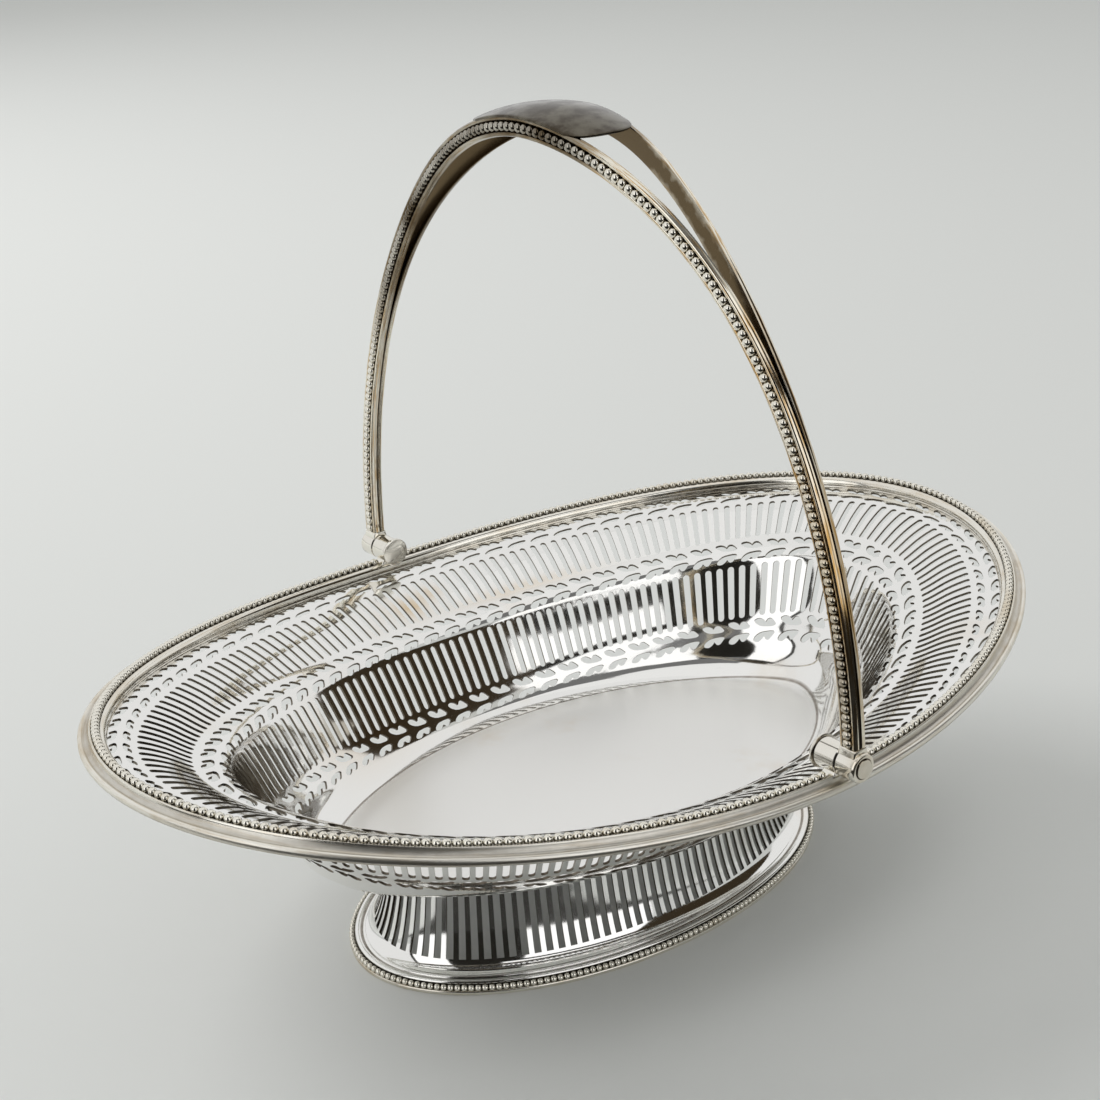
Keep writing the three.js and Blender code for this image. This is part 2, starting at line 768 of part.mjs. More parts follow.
const knuckleProfile = [
  [knuckleBore, knuckleNear],
  [barrelRadius, knuckleNear],
  [barrelRadius, knuckleFar - knuckleRound],
  [barrelRadius - knuckleRound, knuckleFar],
  [knuckleBore, knuckleFar],
  [knuckleBore, knuckleNear],
];
const barrelProfile = [
  [barrelBore, barrelNear],
  [barrelRadius, barrelNear],
  [barrelRadius, barrelFar],
  [barrelBore, barrelFar],
  [barrelBore, barrelNear],
];
const pinRoomProfile = [
  [0, discNear],
  [barrelBore, discNear],
  [barrelBore, knuckleNear],
  [0, knuckleNear],
];
const pinProfile = [
  [0, discNear],
  [pinDiscRadius - pinDiscRound, discNear],
  [pinDiscRadius, discNear + pinDiscRound],
  [pinDiscRadius, discFar],
  [pinRadius, discFar],
  [pinRadius, headNear],
  [pinHeadRadius, headNear],
  [pinHeadRadius, headNear + pinHeadThickness - pinHeadRound],
  [pinHeadRadius - 2 * pinHeadRound, headNear + pinHeadThickness],
  [0, headNear + pinHeadThickness],
];

const saddleTop = hingeHeight - pinRadius - pinCover;
for (const [name, side] of [["near", -1], ["far", 1]]) {
  const barrel = solid(turnedOnHinge(barrelProfile, side, hingeHeight));
  const saddle = solid(sideBlock(
    side,
    saddleHalfLength,
    rimHalfWidth - seatHalfWidth + seatGap,
    rimHalfWidth + seatHalfWidth - seatGap,
    rimHeight + beadSeat + seatGap,
    saddleTop,
  ));
  const pinRoom = solid(turnedOnHinge(pinRoomProfile, side, hingeHeight));
  addMesh(part, "hinge_bracket_" + name, shapeOf(barrel.add(saddle).subtract(pinRoom)), tarnishedSilver);
  addMesh(part, "hinge_pin_" + name, turnedOnHinge(pinProfile, side, hingeHeight), brightSilver);

  const knuckle = solid(turnedOnHinge(knuckleProfile, side, 0));
  const socket = solid(sideBlock(
    side,
    ribBack + ribThickness,
    knuckleNear,
    knuckleNear + 2 * ribHalfWidth,
    pinRadius + pinCover,
    socketTop,
  ));
  addMesh(handle, "handle_knuckle_" + name, shapeOf(knuckle.add(socket)), tarnishedSilver);
}

// The handle turns about the hinge line; it stands almost upright, with the lean it is left at
handle.position.z = hingeHeight;
handle.rotation.y = THREE.MathUtils.degToRad(handleLean);
part.add(handle);

export default part;
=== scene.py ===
# Oval pierced basket with a swing handle, in silver plate.
# Sizes are in millimetres until a piece's points are placed, when they become metres.
import math

import bmesh
import bpy
import numpy as np
from mathutils import Euler, Matrix, Vector


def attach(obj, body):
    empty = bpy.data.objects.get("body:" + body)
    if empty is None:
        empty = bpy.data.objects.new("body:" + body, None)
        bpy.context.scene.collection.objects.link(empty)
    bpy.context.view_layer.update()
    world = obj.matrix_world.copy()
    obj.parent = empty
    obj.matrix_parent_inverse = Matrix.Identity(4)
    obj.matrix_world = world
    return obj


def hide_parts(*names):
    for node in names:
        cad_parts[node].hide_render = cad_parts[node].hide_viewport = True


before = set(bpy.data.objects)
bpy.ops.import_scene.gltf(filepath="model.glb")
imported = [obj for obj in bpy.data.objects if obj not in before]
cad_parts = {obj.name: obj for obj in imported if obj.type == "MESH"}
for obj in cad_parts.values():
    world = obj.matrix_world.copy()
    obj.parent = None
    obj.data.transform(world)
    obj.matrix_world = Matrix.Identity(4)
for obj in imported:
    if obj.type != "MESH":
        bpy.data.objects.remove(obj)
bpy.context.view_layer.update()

MM = 0.001
TURN = 2 * math.pi

# Half length and half width of the rim's bead row and of the foot's edge
RIM = (178.0, 123.45)
FOOT = (99.9, 60.3)
# The rim's height at its sides, how much higher its ends are, and how the lift grows towards them
RIM_HEIGHT = 90.1
END_LIFT = 15.3
LIFT_POWER = 1.71
LIFT_SOFTNESS = 0.01
HINGE_HEIGHT = 94.5
SHEET = 0.9
SOLDER_GAP = 0.3

# Dish from the edge under the border to the floor: inset and height at the sides,
# then what the ends add to each
DISH_LINE = [
    (-3, 86.6, 0, 15.3), (4.5, 84.7, 0, 15.3), (12.5, 81.8, 0.5, 16.6), (21, 78.5, -0.6, 16.7),
    (30.2, 73.6, -1.8, 16.7), (36, 71.3, -0.8, 16.8), (39.9, 69.0, 0.2, 16.6), (42.4, 65.6, 0.4, 16.4),
    (47.5, 57.6, -0.9, 15.9), (53, 48.4, -2, 15.3), (58, 42.1, 0, 12.9), (61, 40.6, 2.2, 5.5),
    (65.5, 39.9, 7.5, 0), (75, 39.9, 7.5, 0),
]
# The line chased round the floor, the inset from which the floor closes to its middle, and over what run
FLOOR_EDGE_INSET = 66.8
FLOOR_INSET = 75
FLOOR_SPAN = 60.0
# Between its sides and ends the dish is slid down its own line, between these runs
DIAGONAL_SLIDE = 2.0
SLIDE_STARTS = (-1, 8)
SLIDE_ENDS = (58, 74)

# Foot skirt from the moulding up to the dish: inset and height
FOOT_LINE = [
    (5.0, 3.9), (5.6, 4.4), (7.3, 5.6), (9.0, 7.6), (10.5, 10.7), (12.1, 15.2),
    (13.7, 21), (15.2, 27.5), (16.3, 33), (16.9, 36.6), (17.2, 39.0),
]
SKIRT_INSET = 11.5

# One leaf: along the stem in shares of the pitch, and away from the stem in shares of its height
LEAF = [
    (0.00, 0.28), (0.03, 0.13), (0.06, 0.08), (0.12, 0.05), (0.20, 0.03), (0.30, 0.04), (0.50, 0.09),
    (0.62, 0.18), (0.74, 0.38), (0.81, 0.56), (0.85, 0.77), (0.83, 0.92), (0.74, 1.00), (0.64, 1.00),
    (0.55, 0.90), (0.47, 0.74), (0.42, 0.56), (0.35, 0.82), (0.28, 0.90), (0.19, 0.85), (0.10, 0.62),
]
LEAF_START = 0.075

# How finely ovals are measured, and how points at slots and seams are set
OVAL_STEPS = 2881
CROWN_POINTS = 7
ROW_MARGIN = 0.3
SEAM_MERGE = 0.005
ARRAY_MERGE = 0.01
CLOSING_MERGE = 0.01 * MM

# Streaks of tarnish on swept pieces: how far they run for each step along, and round the section
STREAK_STEP = 0.02
STREAK_ROUND = 2.5


# Handling pieces

def clear_selection():
    bpy.ops.object.select_all(action="DESELECT")


def take(piece):
    clear_selection()
    piece.select_set(True)
    bpy.context.view_layer.objects.active = piece


def named(piece, name):
    piece.name = name
    piece.data.name = name
    return piece


def joined(pieces, name):
    clear_selection()
    for piece in pieces:
        piece.select_set(True)
    bpy.context.view_layer.objects.active = pieces[0]
    bpy.ops.object.join()
    return named(bpy.context.object, name)


def mesh_values(items, key, width=1, kind=float):
    values = np.empty(len(items) * width, kind)
    items.foreach_get(key, values)
    return values


def points_of(piece):
    return mesh_values(piece.data.vertices, "co", 3).reshape(-1, 3)


def put_points(piece, co):
    piece.data.vertices.foreach_set("co", np.ascontiguousarray(co, dtype=np.float64).ravel())
    piece.data.update()


def mark(piece, name, values):
    """Writes a value on each point, for the finish or for a later step."""
    column = piece.data.attributes.get(name) or piece.data.attributes.new(name, "FLOAT", "POINT")
    column.data.foreach_set("value", np.ascontiguousarray(values, dtype=np.float32))


def marks(piece, name):
    return mesh_values(piece.data.attributes[name].data, "value", 1, np.float32).astype(float)


def apply_all(piece):
    take(piece)
    for modifier in list(piece.modifiers):
        bpy.ops.object.modifier_apply(modifier=modifier.name)


def flat_grid(name, columns, rows):
    """A grid to lay on a form, with each point's share of the way along it and up it."""
    clear_selection()
    bpy.ops.mesh.primitive_grid_add(x_subdivisions=columns, y_subdivisions=rows, size=1)
    piece = named(bpy.context.object, name)
    share = points_of(piece) + 0.5
    return piece, share[:, 0], share[:, 1]


def row_number(share, rows):
    return np.rint(share * rows).astype(int)


def close_up(piece, angle=35, caps=False):
    """Merges doubles, closes open ends, turns the faces outwards and smooths them."""
    take(piece)
    bpy.ops.object.mode_set(mode="EDIT")
    bpy.ops.mesh.select_all(action="SELECT")
    bpy.ops.mesh.remove_doubles(threshold=CLOSING_MERGE)
    if caps:
        bpy.ops.mesh.fill_holes(sides=0)
    bpy.ops.mesh.select_all(action="SELECT")
    bpy.ops.mesh.normals_make_consistent(inside=False)
    bpy.ops.object.mode_set(mode="OBJECT")
    bpy.ops.object.shade_smooth_by_angle(angle=math.radians(angle))
    return piece


def finished(piece, body, slot, nodes, *materials):
    for material in materials:
        piece.data.materials.append(material)
    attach(piece, body)
    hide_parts(*nodes)
    return piece


# Lines and ovals

def ease(x):
    x = np.clip(x, 0, 1)
    return x * x * (3 - 2 * x)


def ramp(x, low, high):
    return ease((x - low) / (high - low))


def hump(x, middle, reach):
    return np.exp(-((x - middle) / reach) ** 2)


def unit(v):
    return v / np.linalg.norm(v, axis=-1, keepdims=True)


def distance_along(points):
    steps = np.linalg.norm(np.diff(points, axis=0), axis=1)
    return np.concatenate([[0], np.cumsum(steps)])


def curve_between(a, b, c, d, f):
    """The point a share f of the way from b to c, on the smooth curve through all four."""
    return 0.5 * (
        2 * b + (c - a) * f + (2 * a - 5 * b + 4 * c - d) * f ** 2 + (3 * b - a - 3 * c + d) * f ** 3)


def smooth_line(stations, steps=40):
    """A curve through the stations, with the distance run along it from the second one."""
    p = np.array(stations, float)
    p = np.vstack([2 * p[0] - p[1], p, 2 * p[-1] - p[-2]])
    f = (np.arange(steps) / steps)[:, None]
    parts = [curve_between(*p[i - 1:i + 3], f) for i in range(1, len(p) - 2)]
    line = np.vstack(parts + [p[-2:-1]])
    run = distance_along(line[:, :2])
    return run - run[steps], line


def softened(outline, steps=3):
    """More points on a closed section, on a curve through those given."""
    p = np.array(outline, float)
    count = len(p)
    return np.array([
        curve_between(p[i - 1], p[i], p[(i + 1) % count], p[(i + 2) % count], f)
        for i in range(count) for f in np.arange(steps) / steps])


def along_line(at, run, line):
    """The values of every column of a line at the given runs."""
    return [np.interp(at, run, line[:, k]) for k in range(line.shape[1])]


DISH_RUN, DISH_COLUMNS = smooth_line(DISH_LINE)
FOOT_RUN, FOOT_COLUMNS = smooth_line(FOOT_LINE)
FLOOR_START = float(np.interp(FLOOR_INSET, DISH_COLUMNS[:, 0], DISH_RUN))
FLOOR_EDGE = float(np.interp(FLOOR_EDGE_INSET, DISH_COLUMNS[:, 0], DISH_RUN))


def foot_runs(heights):
    """The runs up the skirt at the given heights."""
    return [float(np.interp(height, FOOT_COLUMNS[:, 1], FOOT_RUN)) for height in heights]


def end_rise(turn):
    """How much of the lift a turn round the oval has: none at the sides, all at the ends."""
    return (np.cos(turn) ** 2 + LIFT_SOFTNESS) ** (LIFT_POWER / 2) - LIFT_SOFTNESS ** (LIFT_POWER / 2)


def on_oval(oval, turn, inset):
    """Spots set in from an oval, and the way outwards at each."""
    a, b = oval
    outward = unit(np.stack([b * np.cos(turn), a * np.sin(turn)], -1))
    spot = np.stack([a * np.cos(turn), b * np.sin(turn)], -1) - outward * np.asarray(inset)[..., None]
    return spot, outward


def oval_way(oval, inset):
    turn = np.linspace(0, TURN, OVAL_STEPS)
    return turn, distance_along(on_oval(oval, turn, inset)[0])


def even_turns(oval, inset, share):
    """The turns at even shares of the way round the oval."""
    turn, way = oval_way(oval, inset)
    return np.interp(np.asarray(share) * way[-1], way, turn)


def on_rim(turn, out=0.0, up=0.0):
    """A place out from the rim's bead row and up from it."""
    spot, _ = on_oval(RIM, turn, -np.asarray(out))
    return np.stack([spot[..., 0], spot[..., 1], RIM_HEIGHT + END_LIFT * end_rise(turn) + up], -1)


def on_foot(turn, inset, height):
    spot, _ = on_oval(FOOT, turn, inset)
    return np.stack([spot[..., 0], spot[..., 1], height + 0 * turn], -1)


def round_rim(share, out, up):
    return on_rim(share * TURN, out, up)


def round_foot(share, inset, up):
    return on_foot(share * TURN, inset, up)


def place_dish(turn, run):
    """The dish's inner face, from the turn round it and the run down its line."""
    slide = DIAGONAL_SLIDE * np.sin(2 * turn) ** 2 * ramp(run, *SLIDE_STARTS) * (1 - ramp(run, *SLIDE_ENDS))
    at = np.minimum(run + slide, FLOOR_START)
    inset, height, end_inset, end_lift = along_line(at, DISH_RUN, DISH_COLUMNS)
    spot, _ = on_oval(RIM, turn, inset + end_inset * np.cos(turn) ** 2)
    spot *= (1 - np.clip((run - FLOOR_START) / FLOOR_SPAN, 0, 1))[..., None]
    return np.stack([spot[..., 0], spot[..., 1], height + end_lift * end_rise(turn)], -1)


def place_foot(turn, run):
    """The foot's outer face, from the turn round it and the run up its line."""
    return on_foot(turn, *along_line(run, FOOT_RUN, FOOT_COLUMNS))


def normals_of(place, turn, run, turn_step=0.002, run_step=0.4):
    along = place(turn + turn_step, run) - place(turn - turn_step, run)
    down = place(turn, run + run_step) - place(turn, run - run_step)
    n = np.cross(along, down)
    return n / np.maximum(np.linalg.norm(n, axis=-1, keepdims=True), 1e-9)


# Pierced sheets

def slot_hole(middle, width, slot, crowns, levels):
    """A slot between two runs, with its ends rounded by the given crowns."""
    (top, bottom), (crown_top, crown_bottom) = slot, crowns
    half = width / 2
    bend = np.linspace(0, math.pi, CROWN_POINTS)
    upper = [(middle - half * math.cos(a), top + crown_top * (1 - math.sin(a))) for a in bend]
    lower = [(middle + half * math.cos(a), bottom - crown_bottom * (1 - math.sin(a))) for a in bend]
    first, last = top + crown_top + ROW_MARGIN, bottom - crown_bottom - ROW_MARGIN
    sides = [y for y in levels if first < y < last]
    right = [(middle + half, y) for y in sides]
    left = [(middle - half, y) for y in reversed(sides)]
    return upper + right + lower + left


def leaf_hole(pitch, stem, gap, height, side):
    """One leaf beside the stem, above it or below it."""
    ring = [(pitch * (LEAF_START + w), stem + side * (gap + v * height)) for w, v in LEAF]
    return ring if side > 0 else ring[::-1]


def cell(name, pitch, levels, holes, edge_steps):
    """One cell of a pierced band, cut flat: its outline, its holes and the sheet between them."""
    top, bottom = levels[0], levels[-1]
    outline = [(pitch * i / edge_steps, top) for i in range(edge_steps)]
    outline += [(pitch, y) for y in levels[:-1]]
    outline += [(pitch * (1 - i / edge_steps), bottom) for i in range(edge_steps)]
    outline += [(0, y) for y in reversed(levels[1:])]
    clear_selection()
    loops = []
    for ring in [outline] + holes:
        bpy.ops.mesh.primitive_circle_add(vertices=len(ring), fill_type="NOTHING")
        loop = bpy.context.object
        put_points(loop, np.array([(x, y, 0) for x, y in ring], float))
        loops.append(loop)
    piece = joined(loops, name)
    bpy.ops.object.mode_set(mode="EDIT")
    bpy.ops.mesh.select_all(action="SELECT")
    bpy.ops.mesh.fill(use_beauty=True)
    bpy.ops.object.mode_set(mode="OBJECT")
    return piece


def band_of(name, oval, inset, count, levels, holes_for, edge_steps):
    """The cell repeated all round: its points carry their turn and their run."""
    _, way = oval_way(oval, inset)
    pitch = way[-1] / count
    piece = cell(name, pitch, levels, holes_for(pitch), edge_steps)
    row = piece.modifiers.new("row", "ARRAY")
    row.count = count
    row.use_relative_offset = False
    row.use_constant_offset = True
    row.constant_offset_displace = (pitch, 0, 0)
    row.use_merge_vertices = True
    row.merge_threshold = ARRAY_MERGE
    apply_all(piece)
    co = points_of(piece)
    mark(piece, "turn", even_turns(oval, inset, co[:, 0] / (pitch * count)))
    mark(piece, "run", co[:, 1])
    return piece


def even_levels(ends, count):
    top, bottom = ends
    return [top + (bottom - top) * i / count for i in range(count + 1)]


def leaf_band(name, ends, inset, count, stem, gap, upper, lower):
    """A stem with a pair of leaves in each cell, over the given runs."""
    def holes(pitch):
        return [leaf_hole(pitch, stem, gap, upper, -1), leaf_hole(pitch, stem, gap, lower, 1)]
    return band_of(name, RIM, inset, count, even_levels(ends, 6), holes, 6)


def slot_band(name, oval, ends, inset, count, slot, width, crowns, steps):
    """A slot in each cell, over the given runs."""
    levels = even_levels(ends, steps)
    def holes(pitch):
        return [slot_hole(pitch / 2, width, slot, crowns, levels)]
    return band_of(name, oval, inset, count, levels, holes, 2)


def plain_band(name, runs, steps=240):
    piece, share, up = flat_grid(name, steps, len(runs) - 1)
    mark(piece, "turn", share * TURN)
    mark(piece, "run", np.array(runs)[row_number(up, len(runs) - 1)])
    return piece


def seams_between(bands):
    """The last run of each band with the first run of the next one."""
    return [(above[-1], below[0]) for above, below in zip(bands, bands[1:])]


def zip_rows(work, turn_key, run_key, upper_run, lower_run):
    """Joins two rows of points that have different counts with a strip of triangles."""
    def row(run):
        found = [v for v in work.verts if abs(v[run_key] - run) < 1e-3]
        return sorted(found, key=lambda v: v[turn_key] % TURN)

    def at(line, i):
        return line[i % len(line)][turn_key] % TURN + TURN * (i // len(line))

    upper, lower = row(upper_run), row(lower_run)
    i = j = 0
    while i < len(upper) or j < len(lower):
        here, below = upper[i % len(upper)], lower[j % len(lower)]
        if j >= len(lower) or (i < len(upper) and at(upper, i + 1) <= at(lower, j + 1)):
            work.faces.new((here, upper[(i + 1) % len(upper)], below))
            i += 1
        else:
            work.faces.new((here, lower[(j + 1) % len(lower)], below))
            j += 1


def zip_bands(piece, seams):
    work = bmesh.new()
    work.from_mesh(piece.data)
    bmesh.ops.remove_doubles(work, verts=work.verts, dist=SEAM_MERGE)
    turn_key, run_key = work.verts.layers.float["turn"], work.verts.layers.float["run"]
    for upper_run, lower_run in seams:
        zip_rows(work, turn_key, run_key, upper_run, lower_run)
    work.to_mesh(piece.data)
    work.free()


def face_outwards(piece, outward):
    """Turns the faces that look away from the side that is seen."""
    mesh = piece.data
    normal = mesh_values(mesh.polygons, "normal", 3).reshape(-1, 3)
    first = mesh_values(mesh.polygons, "loop_start", 1, np.int32)
    corner = mesh_values(mesh.loops, "vertex_index", 1, np.int32)
    wrong = (normal * outward[corner[first]]).sum(1) < 0
    work = bmesh.new()
    work.from_mesh(mesh)
    work.faces.ensure_lookup_table()
    bmesh.ops.reverse_faces(work, faces=[work.faces[i] for i in np.nonzero(wrong)[0]])
    work.to_mesh(mesh)
    work.free()


def thicken(piece, outward):
    """Gives the sheet its back and its cut edges, with the back square behind each point of the front."""
    front = points_of(piece)
    thick = piece.modifiers.new("sheet", "SOLIDIFY")
    thick.thickness = SHEET
    thick.offset = -1
    # The cut edges take the second finish, whose dark colour is painted shade
    thick.material_offset_rim = 1
    piece.data.materials.append(bright)
    piece.data.materials.append(cut_edge_painted_shade)
    apply_all(piece)
    co = points_of(piece)
    co[len(front):2 * len(front)] = front - SHEET * outward
    put_points(piece, co * MM)


def set_true_normals(piece, place):
    """Shades the sheet by its true form, and its cut edges flat."""
    mesh = piece.data
    normal = mesh_values(mesh.polygons, "normal", 3).reshape(-1, 3)
    corners = mesh_values(mesh.polygons, "loop_total", 1, np.int32)
    finish = mesh_values(mesh.polygons, "material_index", 1, np.int32)
    corner = mesh_values(mesh.loops, "vertex_index", 1, np.int32)
    true = normals_of(place, marks(piece, "turn"), marks(piece, "run"))[corner]
    face = np.repeat(normal, corners, axis=0)
    cut = np.repeat(finish, corners) == 1
    true *= np.sign((true * face).sum(1))[:, None]
    true[cut] = face[cut]
    mesh.polygons.foreach_set("use_smooth", np.ones(len(mesh.polygons), bool))
    mesh.normals_split_custom_set([tuple(v) for v in true])


def pierced_sheet(name, place, bands, seams):
    """Lays the flat bands on the form, joins them, and gives the sheet its thickness."""
    piece = joined(bands, name)
    put_points(piece, place(marks(piece, "turn"), marks(piece, "run")))
    zip_bands(piece, seams)
    outward = normals_of(place, marks(piece, "turn"), marks(piece, "run"))
    face_outwards(piece, outward)
    thicken(piece, outward)
    set_true_normals(piece, place)
    return piece


# Mouldings, beads and round pieces

def swept(name, steps, outline, place, caps=False):
    """A section taken along a line. The outline's third column is the darkening of its hollows: tarnish and
    painted shade.
    """
    piece, share, up = flat_grid(name, steps, len(outline))
    row = row_number(up, len(outline))
    section = np.array(list(outline) + [outline[0]], float)[row]
    spot = place(share, section[:, 0], section[:, 1])
    spot[:, 2] = np.maximum(spot[:, 2], 0)
    put_points(piece, spot * MM)
    # Darkening in the section's hollows: tarnish and painted shade
    mark(piece, "hollow", section[:, 2])
    mark(piece, "along", share * steps * STREAK_STEP)
    mark(piece, "around", row / len(outline) * STREAK_ROUND)
    return close_up(piece, caps=caps)


# A bead's sides are a little squared, and its tarnish and painted shade grow from a little above its middle
# down
BEAD_SQUARING = 0.8
BEAD_TARNISH_AND_SHADE = (0.3, 0.8)


def bead_row(name, count, radius, spots, wide=1.0):
    """One bead repeated in a row, each then set on the line at its own spot."""
    clear_selection()
    bpy.ops.mesh.primitive_uv_sphere_add(segments=8, ring_count=6, radius=radius)
    piece = named(bpy.context.object, name)
    pitch = 4 * radius
    row = piece.modifiers.new("row", "ARRAY")
    row.count = count
    row.use_relative_offset = False
    row.use_constant_offset = True
    row.constant_offset_displace = (pitch, 0, 0)
    apply_all(piece)
    co = points_of(piece)
    index = np.rint(co[:, 0] / pitch).astype(int)
    local = co - np.stack([index * pitch, 0 * index, 0 * index], -1)
    height = local[:, 2] / radius
    local = radius * np.sign(local) * np.abs(local / radius) ** BEAD_SQUARING * np.array([1.0, wide, 1.0])
    centre, along, up = spots(np.arange(count))
    across = np.cross(up, along)
    laid = local[:, :1] * along[index] + local[:, 1:2] * across[index] + local[:, 2:] * up[index]
    put_points(piece, (centre[index] + laid) * MM)
    # Darker below the bead's middle: tarnish and painted shade between the beads
    mark(piece, "hollow", np.clip(BEAD_TARNISH_AND_SHADE[0] - BEAD_TARNISH_AND_SHADE[1] * height, 0, 1))
    take(piece)
    bpy.ops.object.shade_smooth()
    return piece


def turned(name, outline, side, height, segments=48):
    """A round piece about the hinge line, from radii, distances out along Y and the darkening of its hollows:
    tarnish and painted shade.
    """
    rows = len(outline) - 1
    piece, share, up = flat_grid(name, segments, rows)
    section = np.array(outline, float)[row_number(up, rows)]
    turn = share * TURN
    put_points(piece, np.stack([
        section[:, 0] * np.cos(turn), side * section[:, 1], height + section[:, 0] * np.sin(turn),
    ], -1) * MM)
    # Darkening in the outline's hollows: tarnish and painted shade
    mark(piece, "hollow", section[:, 2])
    return close_up(piece, angle=30)


def rounded_block(name, half_width, y_ends, z_ends, pinch, round_off):
    """A block whose foot is wider than its top by the pinch, with its edges rounded."""
    clear_selection()
    bpy.ops.mesh.primitive_cube_add(size=1)
    piece = named(bpy.context.object, name)
    co = points_of(piece)
    top = co[:, 2] > 0
    x = 2 * co[:, 0] * np.where(top, half_width, half_width + pinch)
    y = np.where(co[:, 1] > 0, max(y_ends), min(y_ends))
    z = np.where(top, max(z_ends), min(z_ends))
    put_points(piece, np.stack([x, y, z], -1) * MM)
    edges = piece.modifiers.new("edges", "BEVEL")
    edges.width = round_off * MM
    edges.segments = 4
    apply_all(piece)
    return close_up(piece)


# Finishes

def add_node(tree, kind, sources=None, **settings):
    """A node with its settings, and its inputs linked to a socket or given a plain value."""
    node = tree.nodes.new(kind)
    for key, value in settings.items():
        setattr(node, key, value)
    for key, source in (sources or {}).items():
        if isinstance(source, bpy.types.NodeSocket):
            tree.links.new(source, node.inputs[key])
        else:
            node.inputs[key].default_value = source
    return node


def noise(tree, place, scale, detail, roughness=0.5):
    sources = {"Vector": place, "Scale": scale, "Detail": detail, "Roughness": roughness}
    return add_node(tree, "ShaderNodeTexNoise", sources).outputs["Fac"]


def maths(tree, operation, *sources, clamp=False):
    numbered = dict(enumerate(sources))
    return add_node(tree, "ShaderNodeMath", numbered, operation=operation, use_clamp=clamp).outputs[0]


def remapped(tree, value, old, new=(0.0, 1.0), curve="LINEAR"):
    sources = {"Value": value, "From Min": old[0], "From Max": old[1], "To Min": new[0], "To Max": new[1]}
    return add_node(tree, "ShaderNodeMapRange", sources, interpolation_type=curve).outputs["Result"]


def marked(tree, name):
    return add_node(tree, "ShaderNodeAttribute", attribute_name=name).outputs["Fac"]


def mixed(tree, share, first, second):
    sources = {"Factor": share, "A": first, "B": second}
    return add_node(tree, "ShaderNodeMix", sources, data_type="RGBA").outputs["Result"]


def bumped(tree, height, strength, distance, normal=None):
    sources = {"Height": height, "Strength": strength, "Distance": distance}
    if normal is not None:
        sources["Normal"] = normal
    return add_node(tree, "ShaderNodeBump", sources).outputs["Normal"]


# How far over its start a cloud is full, where the streaks start and are full, and how uneven the hollows are
CLOUD_REACH = 0.22
STREAK_START = (0.47, 0.62)
SPECKLE_GAIN = (0.55, 1.35)
# The polishing grain runs in fine lines, turned a little
GRAIN_TURN = (0, 0, 0.6)
GRAIN_SCALE = (60, 900, 400)
# Gloom gathers where the clouds do, and haze adds to the roughness
GLOOM_CLOUDS = (0.35, 0.62)
GLOOM_GAIN = (0.45, 1.1)
HAZE_ROUGHNESS = 0.36


def warm_tarnish(tree, given, cloud):
    """How warm the silver has turned in clouds."""
    cloud_end = maths(tree, "ADD", given["Cloud Start"], CLOUD_REACH)
    reach = remapped(tree, cloud, (given["Cloud Start"], cloud_end), curve="SMOOTHSTEP")
    return maths(tree, "MULTIPLY", reach, given["Warm Share"])


def stains_and_streaks(tree, given, warm):
    """The warm clouds with the marked stains, and streaks that follow a moulding."""
    stained = maths(tree, "ADD", warm, marked(tree, "stain"), clamp=True)
    laid = add_node(tree, "ShaderNodeCombineXYZ", {"X": marked(tree, "along"), "Y": marked(tree, "around")})
    streak = noise(tree, laid.outputs["Vector"], scale=9, detail=4, roughness=0.6)
    streaked = remapped(tree, streak, STREAK_START, curve="SMOOTHSTEP")
    return maths(tree, "MULTIPLY_ADD", streaked, given["Streak Share"], stained, clamp=True)


def hollow_tarnish_and_shade(tree, given, place):
    """How dark the marked hollows are, from tarnish and painted shade, a little unevenly."""
    speckle = noise(tree, place, scale=260, detail=3)
    uneven = remapped(tree, speckle, (0.0, 1.0), SPECKLE_GAIN)
    gain = maths(tree, "MULTIPLY", marked(tree, "hollow"), given["Hollow Gain"])
    return maths(tree, "MULTIPLY", gain, uneven, clamp=True)


def silver_relief(tree, given, place):
    """Soft swellings of hand-worked sheet under a fine grain of polishing."""
    swell = noise(tree, place, scale=55, detail=2)
    swollen = bumped(tree, swell, strength=given["Relief"], distance=0.6 * MM)
    grain_sources = {"Vector": place, "Rotation": GRAIN_TURN, "Scale": GRAIN_SCALE}
    grain_place = add_node(tree, "ShaderNodeMapping", grain_sources).outputs["Vector"]
    grain = noise(tree, grain_place, scale=1, detail=3)
    return bumped(tree, grain, strength=0.015, distance=0.2 * MM, normal=swollen)


SILVER_INPUTS = {
    "Clean": (0.9, 0.89, 0.86, 1), "Warm": (0.75, 0.62, 0.42, 1), "Dark": (0.1, 0.08, 0.06, 1),
    "Cloud Scale": 18.0, "Cloud Start": 0.5, "Warm Share": 0.6, "Streak Share": 0.0, "Hollow Gain": 1.0,
    "Smooth": 0.1, "Rough": 0.25, "Relief": 0.1,
}
SILVER_OUTPUTS = {"Color": "NodeSocketColor", "Roughness": "NodeSocketFloat", "Normal": "NodeSocketVector"}


